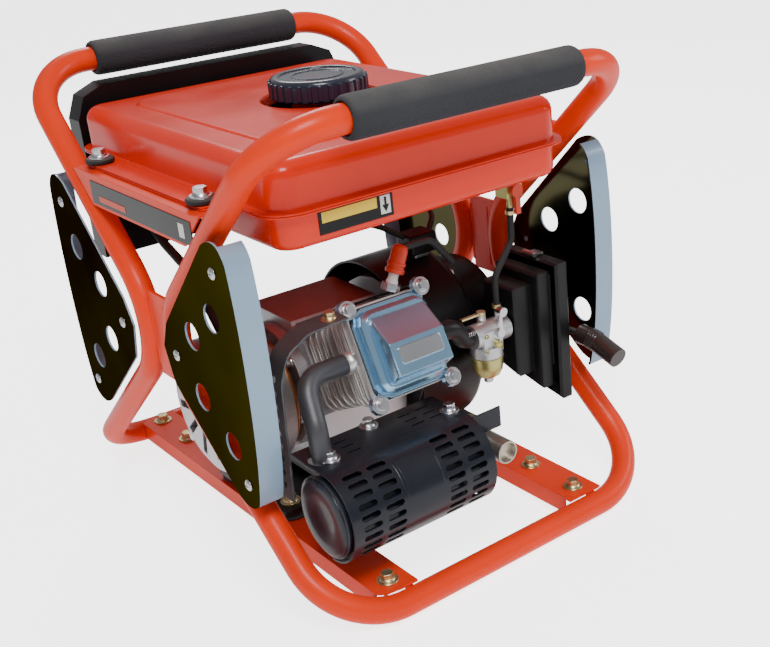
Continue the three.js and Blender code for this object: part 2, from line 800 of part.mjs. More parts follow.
function filterCover() {
  const [, , c, d] = FILTER_X;
  return filterShell(c, d, -182, -100, 96, 248, [c - 5, d - WALL]);
}

// Over-centre clip on top of the cover, hinged at its inner end.
function filterClip() {
  const [, , c, d] = FILTER_X;
  const z = 248 + GAP;
  const y = -141;
  return join(
    block(c + 1, d - 3, y - 7, y + 7, z + 0.6, z + 2.6),
    bar("y", y - 9, y + 9, [c + 1, z + 3], 3, 10),
    block(d - 5, d - 3, y - 7, y + 7, z, z + 2.6),
  );
}

// ---------- exhaust ----------
function exhaustPipe() {
  return tube(bentStations([
    corner(-96.5, -152.3, 210.7),
    corner(-142, -158, 214, 24),
    corner(-151, -186, 176, 24),
    corner(-150, -188, 139.5),
  ], 4), 10, 10);
}

function mufflerBody() {
  const m = MUFFLER;
  const shell = turned("x", [m.y, m.z], [
    [0, m.x0], [m.r - 8, m.x0], [m.r - 4, m.x0 + 4], [m.r - 4, m.x1 - 4], [m.r - 8, m.x1], [0, m.x1],
  ], 18);
  return join(shell, tailPipe());
}

// Outlet: a short pipe out of the right end cap into a cross tube that opens to the front.
function tailPipe() {
  const m = MUFFLER;
  return join(
    bar("x", m.x1 - 2, m.x1 + 22, [m.y - 4, m.z], 9, 14),
    cut(
      bar("y", m.y - 28, m.y + 6, [m.x1 + 26, m.z], 12, 18),
      bar("y", m.y - 32, m.y - 14, [m.x1 + 26, m.z], 10, 16),
    ),
  );
}

// Perforated sheet round the front of the muffler with a flat sheet back from its top edge.
function mufflerShield() {
  const m = MUFFLER;
  const [x0, x1] = [m.x0 + 6, m.x1 - 2];
  const inner = m.r + 1;
  const ring = turned("x", [m.y, m.z], [
    [inner, x0], [m.r + 3, x0], [m.r + 3, x1], [inner, x1], [inner, x0],
  ], 24);
  const wrap = cut(ring, block(x0 - 5, x1 + 5, m.y, m.y + 80, m.z - 60, m.z + 60));
  const top = block(x0, x1, m.y - 1, m.y + 52, m.z + m.r + 1, m.z + m.r + 3);
  const slots = [];
  for (const dx of [-58, -34, 34, 58]) {
    for (const angle of [8, 24, 40, 56]) {
      const turn = new THREE.Matrix4()
        .makeRotationX(-THREE.MathUtils.degToRad(angle))
        .setPosition((x0 + x1) / 2 + dx, m.y, m.z);
      slots.push(block(-8, 8, -m.r - 10, -m.r + 5, -3, 3, turn));
    }
  }
  const pipeHole = bar("z", m.z + m.r - 5, m.z + m.r + 10, [-150, -188], 14, 12);
  return cut(join(wrap, top), ...slots, pipeHole);
}

// Bent steel strip, drilled along its length, that keeps hands off the exhaust pipe.
function exhaustGuard() {
  const thick = 1.8;
  const side = (inset) => [
    [264 - inset, -98], [262 - inset, -140], [252 - inset, -162 + inset], [232, -172 + inset],
    [108, -177 + inset],
  ];
  const strip = polygon([...side(0), ...side(thick).reverse()]);
  const body = prism("y", strip, -176, -150);
  const holes = Array.from({ length: 9 }, (_, k) =>
    bar("x", -190, -160, [-163, 122 + k * 13], 3.4, 6),
  );
  return cut(body, ...holes);
}

// ---------- alternator ----------
function statorCore() {
  return turned("x", [CRANK.y, CRANK.z], [
    [48, -160], [70, -160], [70, -108], [48, -108], [44, -112], [44, -156], [48, -160],
  ], 20);
}

function rotor() {
  return turned("x", [CRANK.y, CRANK.z], [
    [12.4, -158], [30, -158], [42, -152], [42, -114], [30, -110], [12.4, -110], [12.4, -158],
  ], 24);
}

function endBell() {
  const cup = turned("x", [CRANK.y, CRANK.z], [
    [0, -184], [56, -184], [71, -174], [71, -160 - GAP], [60, -160 - GAP], [58, -172],
    [12.6, -172], [12.6, -181], [0, -181],
  ], 20);
  const vents = Array.from({ length: 6 }, (_, k) => {
    const turn = new THREE.Matrix4()
      .makeRotationX(((k + 0.5) / 6) * 2 * Math.PI)
      .setPosition(0, CRANK.y, CRANK.z);
    return block(-190, -165, -6, 6, 28, 46, turn);
  });
  return cut(cup, ...vents);
}

// Plate under the engine and alternator, on four rubber-mount posts that stand on the channels.
function engineBed() {
  const low = 2 * TUBE_R + GAP + CHANNEL.t + GAP;
  const plate = prism("z", roundedRect(-146, 126, -84, 64, 12), 36, 42 - GAP);
  const posts = [CHANNEL_X.left, CHANNEL_X.right].flatMap((x) =>
    [-66, 46].map((y) => bar("z", low, 38, [x, y], 12, 16)),
  );
  return join(plate, ...posts);
}

// ---------- electrics ----------
function controlBox() {
  const b = BOX;
  const outline = (inset) => {
    const s = new THREE.Shape();
    const r = 34 - inset;
    s.moveTo(b.z0 + inset, -b.x + inset);
    s.lineTo(b.z1 - inset - r, -b.x + inset);
    s.absarc(b.z1 - inset - r, -b.x + inset + r, r, -Math.PI / 2, 0);
    s.lineTo(b.z1 - inset, b.x - inset - r);
    s.absarc(b.z1 - inset - r, b.x - inset - r, r, 0, Math.PI / 2);
    s.lineTo(b.z0 + inset, b.x - inset);
    return s;
  };
  const body = prism("y", outline(0), b.y0, b.y1);
  const hollow = prism("y", outline(2.5), b.y0 + 2.5, b.y1 + 5);
  return cut(body, hollow);
}

const FACE_Y = BOX.y1 + GAP; // the fascia's inner side
const PANEL = {
  meter: [-95, 372],
  socketZ: 318,
  sockets: [-28, 42],
  breaker: [104, 318],
  rocker: [104, 376],
};

function fascia() {
  const outline = roundedRect(BOX.z0 + 6, BOX.z1 - 8, -BOX.x + 8, BOX.x - 8, 24);
  const plate = prism("y", outline, FACE_Y, FACE_Y + 2.5);
  const [mx, mz] = PANEL.meter;
  const [bx, bz] = PANEL.breaker;
  const [rx, rz] = PANEL.rocker;
  const openings = [
    bar("y", FACE_Y - 2, FACE_Y + 5, [mx, mz], 21.4, 20),
    bar("y", FACE_Y - 2, FACE_Y + 8, [bx, bz], 5.4, 14),
    block(rx - 8.5, rx + 8.5, FACE_Y - 2, FACE_Y + 8, rz - 13, rz + 13),
    ...PANEL.sockets.map((x) => bar("y", FACE_Y - 2, FACE_Y + 5, [x, PANEL.socketZ], 22.4, 20)),
  ];
  const breakerNut = bar("y", FACE_Y + 2, FACE_Y + 5, [bx, bz], 10, 6);
  const switchBezel = block(rx - 13, rx + 13, FACE_Y + 2, FACE_Y + 5, rz - 17, rz + 17);
  return cut(join(plate, breakerNut, switchBezel), ...openings);
}

function voltMeter() {
  const [x, z] = PANEL.meter;
  return join(
    bar("y", FACE_Y - 18, FACE_Y + 4, [x, z], 21, 20),
    bar("y", FACE_Y + 2.5 + GAP, FACE_Y + 6, [x, z], 25, 20),
  );
}

// One moulding with two round sockets, each with a hinge ear above it.
function duplexSocket() {
  const z = PANEL.socketZ;
  const [left, right] = PANEL.sockets;
  const front = FACE_Y + 2.5 + GAP;
  const wells = PANEL.sockets.map((x) => bar("y", FACE_Y - 8, FACE_Y + 10, [x, z], 18, 18));
  const rounds = PANEL.sockets.flatMap((x) => [
    bar("y", FACE_Y - 20, FACE_Y + 5, [x, z], 22, 20),
    bar("y", front, FACE_Y + 6, [x, z], 26, 20),
    block(x - 8, x + 8, front, FACE_Y + 7, z + 22, z + 31),
  ]);
  return cut(join(block(left, right, front, FACE_Y + 6, z - 14, z + 14), ...rounds), ...wells);
}

function socketLid(x) {
  const z = PANEL.socketZ;
  const low = FACE_Y + 7 + GAP;
  return join(
    bar("y", low, low + 4, [x, z], 25, 20),
    block(x - 9, x + 9, low, low + 4, z + 18, z + 30),
  );
}

function breakerButton() {
  const [x, z] = PANEL.breaker;
  return join(
    bar("y", FACE_Y - 8, FACE_Y + 9, [x, z], 5, 12),
    bar("y", FACE_Y - 11, FACE_Y - 8, [x, z], 8, 12),
  );
}

function switchRocker() {
  const [x, z] = PANEL.rocker;
  const tilted = new THREE.Matrix4()
    .makeRotationX(THREE.MathUtils.degToRad(ROCKER_TILT))
    .setPosition(x, FACE_Y + 3.7, z);
  return prism("y", roundedRect(-11, 11, -8, 8, 2), -2.7, 3.3, 0.8, tilted);
}

function dipstick() {
  return join(
    bar("y", 62 + GAP, 74, [-40, 92], 13, 8),
    bar("y", 44, 63, [-40, 92], 9, 14),
    bar("y", 20, 46, [-40, 92], 2, 8),
  );
}

// ---------- put together ----------
piece("frame_loop_front", frameLoop(-1), "paint");
piece("frame_loop_rear", frameLoop(1), "paint");
for (const [label, end] of [["left", -1], ["right", 1]]) {
  piece(`end_plate_${label}`, endPlate(end), "paint");
  piece(`base_channel_${label}`, baseChannel(CHANNEL_X[label]), "paint");
  piece(`side_guard_${label}_front`, sideGuard(end, -1), "guard");
  piece(`side_guard_${label}_rear`, sideGuard(end, 1), "guard");
}
piece("foam_grip_front", foamGrip(-1), "foam");
piece("foam_grip_rear", foamGrip(1), "foam");

piece("tank_lower_shell", tankLower(), "tank");
piece("tank_upper_shell", tankUpper(), "tank");
piece("cap_gasket", capGasket(), "rubber");
piece("fuel_cap", fuelCap(), "cap");
piece("fuel_tap", fuelTap(), "brass");
piece("fuel_tap_lever", fuelTapLever(), "steel");

piece("engine_bed", engineBed(), "black");
piece("crankcase", crankcase(), "cast");
piece("crankcase_side_cover", sideCover(), "cast");
piece("cylinder_barrel", cylinder(), "cast");
piece("cylinder_head", cylinderHead(), "cast");
piece("valve_cover", valveCover(), "cover");
piece("piston_with_pin", piston(), "cast");
piece("crankshaft", crankshaft(), "steel");
piece("flywheel_fan", flywheel(), "cast");
piece("blower_shroud", blowerShroud(), "black");
piece("recoil_cover", recoilCover(), "black");
piece("starter_reel", starterReel(), "grey");
piece("recoil_grip", recoilGrip(), "rubber");
piece("spark_plug", sparkPlug(), "steel");
piece("plug_cap_and_lead", plugCap(), "lead");
piece("oil_dipstick", dipstick(), "black");

piece("intake_pipe", intakeElbow(), "black");
piece("carburettor", carburettor(), "cast");
piece("float_bowl", floatBowl(), "brass");
piece("fuel_hose", fuelHose(), "rubber");
piece("choke_lever", chokeLever(), "steel");
piece("throttle_arm", throttleArm(), "steel");
piece("filter_base", filterBase(), "black");
piece("filter_element", filterElement(), "foam");
piece("filter_cover", filterCover(), "black");
piece("filter_clip", filterClip(), "steel");

piece("exhaust_pipe", exhaustPipe(), "exhaust");
piece("exhaust_guard", exhaustGuard(), "exhaust");
piece("muffler_body", mufflerBody(), "shield");
piece("muffler_shield", mufflerShield(), "shield");

piece("stator", statorCore(), "copper");
piece("rotor", rotor(), "copper");
piece("alternator_end_bell", endBell(), "cast");

piece("control_box", controlBox(), "black");
piece("fascia", fascia(), "black");
piece("volt_meter", voltMeter(), "grey");
piece("duplex_socket", duplexSocket(), "grey");
piece("socket_lid_left", socketLid(PANEL.sockets[0]), "grey");
piece("socket_lid_right", socketLid(PANEL.sockets[1]), "grey");
piece("breaker_button", breakerButton(), "lead");
piece("engine_switch_rocker", switchRocker(), "lead");

export default generator;
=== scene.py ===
"""Looks of an open-frame portable generator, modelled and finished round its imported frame.

Lengths in the tables below are millimetres, as on a drawing; meshes are in metres.
+Z is up, -Y is the front (cylinder head and muffler), +X is the recoil starter's end.
"""
import math

import bmesh
import bpy
from bpy.props import FloatProperty, FloatVectorProperty, PointerProperty
from bpy.types import Operator, Panel, PropertyGroup
from mathutils import Matrix, Vector


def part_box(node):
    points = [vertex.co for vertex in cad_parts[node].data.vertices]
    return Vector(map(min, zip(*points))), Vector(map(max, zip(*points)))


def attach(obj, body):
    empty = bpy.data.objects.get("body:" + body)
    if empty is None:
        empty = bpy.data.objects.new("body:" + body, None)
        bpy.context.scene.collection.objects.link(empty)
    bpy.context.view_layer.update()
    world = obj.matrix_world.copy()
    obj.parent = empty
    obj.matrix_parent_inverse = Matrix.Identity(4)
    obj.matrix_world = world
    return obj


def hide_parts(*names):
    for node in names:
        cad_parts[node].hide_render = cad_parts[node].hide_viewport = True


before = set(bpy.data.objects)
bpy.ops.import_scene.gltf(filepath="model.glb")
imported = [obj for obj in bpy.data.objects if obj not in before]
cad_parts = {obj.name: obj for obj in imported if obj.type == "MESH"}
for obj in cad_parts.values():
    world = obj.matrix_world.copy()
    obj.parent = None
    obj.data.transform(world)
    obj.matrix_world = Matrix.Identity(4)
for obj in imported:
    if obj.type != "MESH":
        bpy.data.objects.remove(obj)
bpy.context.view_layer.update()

bl_info = {
    "name": "Open-Frame Generator",
    "version": (1, 0, 0),
    "blender": (4, 5, 0),
    "location": "View3D > Sidebar > Generator",
    "description": "Builds the looks of an open-frame portable generator piece by piece",
    "category": "Object",
}

MM = 0.001

# ---------- sizes shared with the frame, in millimetres ----------
RAIL = (196.1, 259.5, 12.5, 74.3)  # x, y, z and bend radius of the bottom corners
WAIST = (199.2, -9.9, 229.7, 73.6)
HANDLE = (195.6, 246.8, 460.0, 65.9)
TANK_X = (-168.0, 152.0)
TANK_Y = 200.0
TANK_Z = (346.0, 380.0, 425.0)  # bottom, seam, top
CAP_AT = (8.0, 4.0)
CRANK = (-43.0, -20.0, 149.0)
LEAN = math.radians(25.0)
HEAD_TOP = 163.3
MUFFLER = (-172.0, -2.0, -210.0, 102.0)  # x from, x to, y, z
GUARD_X = 213.0
CHANNEL_X = (-127, 108)  # middles of the two base channels
EAR_BOLTS = [(x, y) for x in (-187.5, 187.5) for y in (-108, 108)]
GUARD_EYES = ((147, 293), (101, 263.5), (101, 203.5), (148, 170.5))  # y and z
GUARD_EYE_R = 13.5
GUARD_SCREWS = ((164, 338), (60, 233), (166, 138))  # y and z
PLUG_SEAT = (-24, -134, 258.5)
PLUG_TILT = math.radians(24)
MOUNT_Y = (-66, 46)  # the engine mounts along each channel
CHANNEL_BOLT_Y = (-236, -170, 170, 236)
LID_R = 25.0

# ---------- the stage, in metres and watts ----------
FLOOR_HALF = 6.0
FLOOR_GLOW = (0.55, 3.2)  # for light, and for the camera
SKY_STRENGTH = 0.38
BACKDROP_STRENGTH = 4.2
LAMPS = (  # name, place, aimed at, side and power
    ("key", (-0.7, -1.5, 2.3), (0, 0, 0.25), 0.9, 52),
    ("fill", (1.9, -1.1, 1.1), (0, 0, 0.2), 0.8, 12),
    ("rim", (0.8, 1.8, 1.9), (0, 0, 0.3), 0.8, 22),
)
CAMERA_AT = (-0.6158, -1.0434, 0.6633)
CAMERA_TURN = (-38.29, 23.297, -4.134)  # azimuth, height and roll in degrees
CAMERA_LENS = 56.15
CAMERA_SHIFT = (-0.1452, 0.023)
CARB = (77.0, -148.0, 186.0)
TAP = (118.0, -150.0, 330.0)
ROPE = (175.0, 164.0)  # x and z of the starter rope's line
FACE_Y = 242.8  # outer side of the fascia

X_AXIS = (1, 0, 0)
Y_AXIS = (0, 1, 0)
Z_AXIS = (0, 0, 1)
FRONT = (0, -1, 0)

# The cylinder's own frame: X across, Y up the head face, Z along the cylinder.
LEANING = Matrix.Translation(Vector(CRANK) * MM) @ Matrix((
    (1, 0, 0, 0),
    (0, math.sin(LEAN), -math.cos(LEAN), 0),
    (0, math.cos(LEAN), math.sin(LEAN), 0),
    (0, 0, 0, 1),
))


def size(name):
    """One of the machine's adjustable sizes, in millimetres."""
    return round(getattr(bpy.context.scene.generator_sizes, name) / MM, 3)


# ---------- shapes: every helper returns a bmesh in metres ----------
def stand(at=(0, 0, 0), along=Z_AXIS, within=Matrix.Identity(4)):
    """The transform that stands a shape made up +Z at a point, pointing along a direction."""
    turn = Vector(Z_AXIS).rotation_difference(Vector(along)).to_matrix().to_4x4()
    return within @ Matrix.Translation(Vector(at) * MM) @ turn


def rod(radius, length, where, sides=40, top=None):
    """A round bar or cone from the origin of `where` up its Z."""
    bm = bmesh.new()
    bmesh.ops.create_cone(
        bm, cap_ends=True, segments=sides, radius1=radius * MM,
        radius2=(radius if top is None else top) * MM, depth=length * MM,
        matrix=where @ Matrix.Translation((0, 0, length * MM / 2)),
    )
    return bm


def slab(low, high, within=Matrix.Identity(4)):
    """A box between two corners."""
    low, high = Vector(low) * MM, Vector(high) * MM
    bm = bmesh.new()
    size = high - low
    place = Matrix.Translation((low + high) / 2) @ Matrix.Diagonal((*size, 1))
    bmesh.ops.create_cube(bm, size=1, matrix=within @ place)
    return bm


def turned(profile, where, steps=72, angle=2 * math.pi, start=0.0):
    """A profile of (radius, height) points spun about the Z of `where`."""
    bm = bmesh.new()
    points = [bm.verts.new((r * MM, 0, h * MM)) for r, h in profile]
    edges = [bm.edges.new(pair) for pair in zip(points, points[1:])]
    whole = math.isclose(angle, 2 * math.pi)
    if not whole:
        bmesh.ops.rotate(bm, verts=bm.verts, matrix=Matrix.Rotation(start, 3, "Z"))
    bmesh.ops.spin(
        bm, geom=points + edges, cent=(0, 0, 0), axis=Z_AXIS, angle=angle,
        steps=steps, use_merge=whole,
    )
    bmesh.ops.remove_doubles(bm, verts=bm.verts, dist=1e-6)
    if not whole:
        rims = [e for e in bm.edges if e.is_boundary]
        bmesh.ops.holes_fill(bm, edges=rims, sides=0)
    bmesh.ops.recalc_face_normals(bm, faces=bm.faces)
    bmesh.ops.transform(bm, matrix=where, verts=bm.verts)
    return bm


def cut_sheet(outline, depth, within):
    """An outline of (across, up) points in the XY of `within`, extruded up its Z."""
    bm = bmesh.new()
    face = bm.faces.new([bm.verts.new((a * MM, b * MM, 0)) for a, b in outline])
    grown = bmesh.ops.extrude_face_region(bm, geom=[face])["geom"]
    risen = [v for v in grown if isinstance(v, bmesh.types.BMVert)]
    bmesh.ops.translate(bm, verts=risen, vec=(0, 0, depth * MM))
    bmesh.ops.recalc_face_normals(bm, faces=bm.faces)
    bmesh.ops.transform(bm, matrix=within, verts=bm.verts)
    return bm


def rounded_outline(a0, a1, b0, b1, radius, steps=8):
    """The outline of a rectangle with round corners."""
    centres = (
        (a1 - radius, b0 + radius, -90), (a1 - radius, b1 - radius, 0),
        (a0 + radius, b1 - radius, 90), (a0 + radius, b0 + radius, 180),
    )
    points = []
    for a, b, start in centres:
        for k in range(steps + 1):
            t = math.radians(start + 90 * k / steps)
            points.append((a + radius * math.cos(t), b + radius * math.sin(t)))
    return points


def soften(bm, width, angle=30, segments=3):
    """Rounds every edge sharper than an angle."""
    limit = math.radians(angle)
    edges = [e for e in bm.edges if len(e.link_faces) == 2 and e.calc_face_angle() > limit]
    bmesh.ops.bevel(
        bm, geom=edges, offset=width * MM, offset_type="OFFSET", segments=segments,
        profile=0.5, affect="EDGES", clamp_overlap=True, material=-1,
    )
    return bm


def as_object(bm):
    """A passing object that holds a bmesh for a modifier or a conversion."""
    mesh = bpy.data.meshes.new("passing")
    bm.to_mesh(mesh)
    bm.free()
    holder = bpy.data.objects.new("passing", mesh)
    bpy.context.scene.collection.objects.link(holder)
    return holder


def evaluated(holder, *helpers):
    """The bmesh of an object after its modifiers; the object and its helpers are deleted."""
    bpy.context.view_layer.update()
    ready = holder.evaluated_get(bpy.context.evaluated_depsgraph_get())
    mesh = bpy.data.meshes.new_from_object(ready)
    bm = bmesh.new()
    bm.from_mesh(mesh)
    bpy.data.meshes.remove(mesh)
    for done in (holder, *helpers):
        bpy.data.objects.remove(done)
    return bm


def carve(solid, *cutters):
    """A solid with the cutters taken out of it."""
    body = as_object(solid)
    tool = as_object(gather(cutters))
    change = body.modifiers.new("cut", "BOOLEAN")
    change.operation = "DIFFERENCE"
    change.solver = "EXACT"
    change.object = tool
    return evaluated(body, tool)


def gather(parts):
    """Several bmeshes as one."""
    whole = bmesh.new()
    for part in parts:
        mesh = bpy.data.meshes.new("passing")
        part.to_mesh(mesh)
        part.free()
        whole.from_mesh(mesh)
        bpy.data.meshes.remove(mesh)
    return whole


def route(*corners, steps=12):
    """Points along a polyline of (x, y, z, bend radius) corners with the bends rounded."""
    points = []
    for i, (x, y, z, bend) in enumerate(corners):
        at = Vector((x, y, z))
        if not bend:
            points.append(at)
            continue
        back = (Vector(corners[i - 1][:3]) - at).normalized()
        ahead = (Vector(corners[(i + 1) % len(corners)][:3]) - at).normalized()
        half = back.angle(ahead) / 2
        centre = at + (back + ahead).normalized() * (bend / math.sin(half))
        start = at + back * (bend / math.tan(half)) - centre
        end = at + ahead * (bend / math.tan(half)) - centre
        for k in range(steps + 1):
            points.append(centre + start.slerp(end, k / steps).normalized() * bend)
    return points


def pipe(points, radius, closed=False, fineness=8):
    """A round tube along points."""
    curve = bpy.data.curves.new("passing", "CURVE")
    curve.dimensions = "3D"
    curve.bevel_depth = radius * MM
    curve.bevel_resolution = fineness
    curve.use_fill_caps = not closed
    line = curve.splines.new("POLY")
    line.points.add(len(points) - 1)
    for knot, at in zip(line.points, points):
        knot.co = (*(at * MM), 1)
    line.use_cyclic_u = closed
    holder = bpy.data.objects.new("passing", curve)
    bpy.context.scene.collection.objects.link(holder)
    bm = evaluated(holder)
    bmesh.ops.remove_doubles(bm, verts=bm.verts, dist=1e-6)
    bmesh.ops.recalc_face_normals(bm, faces=bm.faces)
    return bm


def drawn(node, angle=1.0):
    """A merged copy of a CAD node's mesh, its flat faces made whole."""
    bm = bmesh.new()
    bm.from_mesh(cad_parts[node].data)
    bmesh.ops.remove_doubles(bm, verts=bm.verts, dist=2e-6)
    bmesh.ops.dissolve_limit(
        bm, angle_limit=math.radians(angle), verts=bm.verts, edges=bm.edges,
    )
    return bm


def hex_bolt(at, along, across=10.0, within=Matrix.Identity(4), washer=True):
    """A flanged hex bolt's head on its washer, standing on a surface."""
    r = across / math.sqrt(3)
    place = stand(at, along, within)
    lift = 1.6 if washer else 0.0
    up = place @ Matrix.Translation((0, 0, lift * MM))
    flange = turned([(0, 0), (across * 0.72, 0), (across * 0.66, 1.2), (r, 2.0), (0, 2.0)], up, 28)
    head = soften(rod(r, across * 0.52, up @ Matrix.Translation((0, 0, 1.5 * MM)), 6), 0.5, 25, 2)
    parts = [flange, head]
    if washer:
        rim = across * 0.95
        parts.append(turned([(0, 0), (rim, 0), (rim, 1.3), (rim - 0.4, 1.7), (0, 1.7)], place, 28))
    return gather(parts)


def round_screw(at, along, radius=4.0, within=Matrix.Identity(4)):
    """A domed screw head with a cross recess."""
    place = stand(at, along, within)
    dome = turned([
        (0, 0), (radius, 0), (radius, 0.5), (radius * 0.85, 1.5), (radius * 0.5, 2.2), (0, 2.4),
    ], place, 24)
    arms = [
        slab((-radius * 0.6, -0.5, 1.2), (radius * 0.6, 0.5, 4), place),
        slab((-0.5, -radius * 0.6, 1.2), (0.5, radius * 0.6, 4), place),
    ]
    return carve(carve(dome, arms[0]), arms[1])


# ---------- shader groups ----------
def shader_group(name, inputs, **outputs):
    """A new node group with float inputs and outputs of given kinds, and its in and out nodes."""
    group = bpy.data.node_groups.new(name, "ShaderNodeTree")
    for label, value in inputs.items():
        socket = group.interface.new_socket(label, in_out="INPUT", socket_type="NodeSocketFloat")
        socket.default_value = value
    for label, kind in outputs.items():
        group.interface.new_socket(label, in_out="OUTPUT", socket_type=f"NodeSocket{kind}")
    return group, group.nodes.new("NodeGroupInput"), group.nodes.new("NodeGroupOutput")


def object_noise(tree, scale, detail):
    """Noise in Object coordinates at a scale given by a socket."""
    where = tree.nodes.new("ShaderNodeTexCoord")
    noise = tree.nodes.new("ShaderNodeTexNoise")
    noise.inputs["Detail"].default_value = detail
    tree.links.new(where.outputs["Object"], noise.inputs["Vector"])
    tree.links.new(scale, noise.inputs["Scale"])
    return noise.outputs["Fac"]


def remapped(tree, value, low, high):
    """A value spread so that `low` becomes 0 and `high` becomes 1."""
    spread = tree.nodes.new("ShaderNodeMapRange")
    spread.inputs["From Min"].default_value = low
    spread.inputs["From Max"].default_value = high
    tree.links.new(value, spread.inputs["Value"])
    return spread.outputs["Result"]


def product(tree, first, second):
    """Two values multiplied."""
    both = tree.nodes.new("ShaderNodeMath")
    both.operation = "MULTIPLY"
    tree.links.new(first, both.inputs[0])
    tree.links.new(second, both.inputs[1])
    return both.outputs["Value"]


def soft_edge_group():
    """Rounded corners as a normal, and a mask of where corners are rubbed."""
    given_values = {"Radius": 0.001, "Scale": 60.0}
    group, given, out = shader_group("soft_edges", given_values, Normal="Vector", Rubbed="Float")
    bevel = group.nodes.new("ShaderNodeBevel")
    bevel.samples = 4
    group.links.new(given.outputs["Radius"], bevel.inputs["Radius"])
    surface = group.nodes.new("ShaderNodeNewGeometry")
    dot = group.nodes.new("ShaderNodeVectorMath")
    dot.operation = "DOT_PRODUCT"
    group.links.new(bevel.outputs["Normal"], dot.inputs[0])
    group.links.new(surface.outputs["Normal"], dot.inputs[1])
    corners = remapped(group, dot.outputs["Value"], 0.985, 0.86)
    patches = remapped(group, object_noise(group, given.outputs["Scale"], 4.0), 0.5, 0.66)
    group.links.new(bevel.outputs["Normal"], out.inputs["Normal"])
    group.links.new(product(group, corners, patches), out.inputs["Rubbed"])
    return group


def grain_group():
    """A fine and a broad unevenness over the object."""
    given_values = {"Fine Scale": 400.0, "Broad Scale": 12.0}
    group, given, out = shader_group("grain", given_values, Fine="Float", Broad="Float")
    for label in ("Fine", "Broad"):
        noise = object_noise(group, given.outputs[f"{label} Scale"], 3.0)
        group.links.new(noise, out.inputs[label])
    return group


def dust_group():
    """Where dust lies: on faces that look up, in patches."""
    group, given, out = shader_group("dust", {"Amount": 0.2, "Scale": 30.0}, Mask="Float")
    surface = group.nodes.new("ShaderNodeNewGeometry")
    split = group.nodes.new("ShaderNodeSeparateXYZ")
    group.links.new(surface.outputs["Normal"], split.inputs["Vector"])
    upward = remapped(group, split.outputs["Z"], 0.2, 1.0)
    patch = product(group, upward, object_noise(group, given.outputs["Scale"], 6.0))
    group.links.new(product(group, patch, given.outputs["Amount"]), out.inputs["Mask"])
    return group


GROUPS = {"soft_edges": soft_edge_group, "grain": grain_group, "dust": dust_group}


def placed_group(tree, name, **values):
    """A shared shader group placed in a material with its own values."""
    node = tree.nodes.new("ShaderNodeGroup")
    node.node_tree = bpy.data.node_groups.get(name) or GROUPS[name]()
    for label, value in values.items():
        node.inputs[label.replace("_", " ")].default_value = value
    return node


def colour_mix(tree, factor, first, second):
    """A node that mixes two colours, each a tuple or an output socket."""
    node = tree.nodes.new("ShaderNodeMix")
    node.data_type = "RGBA"
    tree.links.new(factor, node.inputs["Factor"])
    for index, colour in ((6, first), (7, second)):
        if isinstance(colour, tuple):
            node.inputs[index].default_value = (*colour, 1)
        else:
            tree.links.new(colour, node.inputs[index])
    return node.outputs[2]


def pattern_height(tree, pattern, scale):
    """The relief of a named surface pattern, in Object coordinates."""
    where = tree.nodes.new("ShaderNodeTexCoord")
    if pattern == "cells":
        cells = tree.nodes.new("ShaderNodeTexVoronoi")
        cells.inputs["Scale"].default_value = scale
        tree.links.new(where.outputs["Object"], cells.inputs["Vector"])
        return cells.outputs["Distance"]
    bands = tree.nodes.new("ShaderNodeTexWave")
    bands.wave_type = "BANDS"
    bands.bands_direction = "X"
    bands.inputs["Scale"].default_value = scale
    bands.inputs["Distortion"].default_value = 0.6
    tree.links.new(where.outputs["Object"], bands.inputs["Vector"])
    return bands.outputs["Fac"]


BARE_STEEL = (0.45, 0.44, 0.43)
DUST_COLOUR = (0.42, 0.38, 0.33)


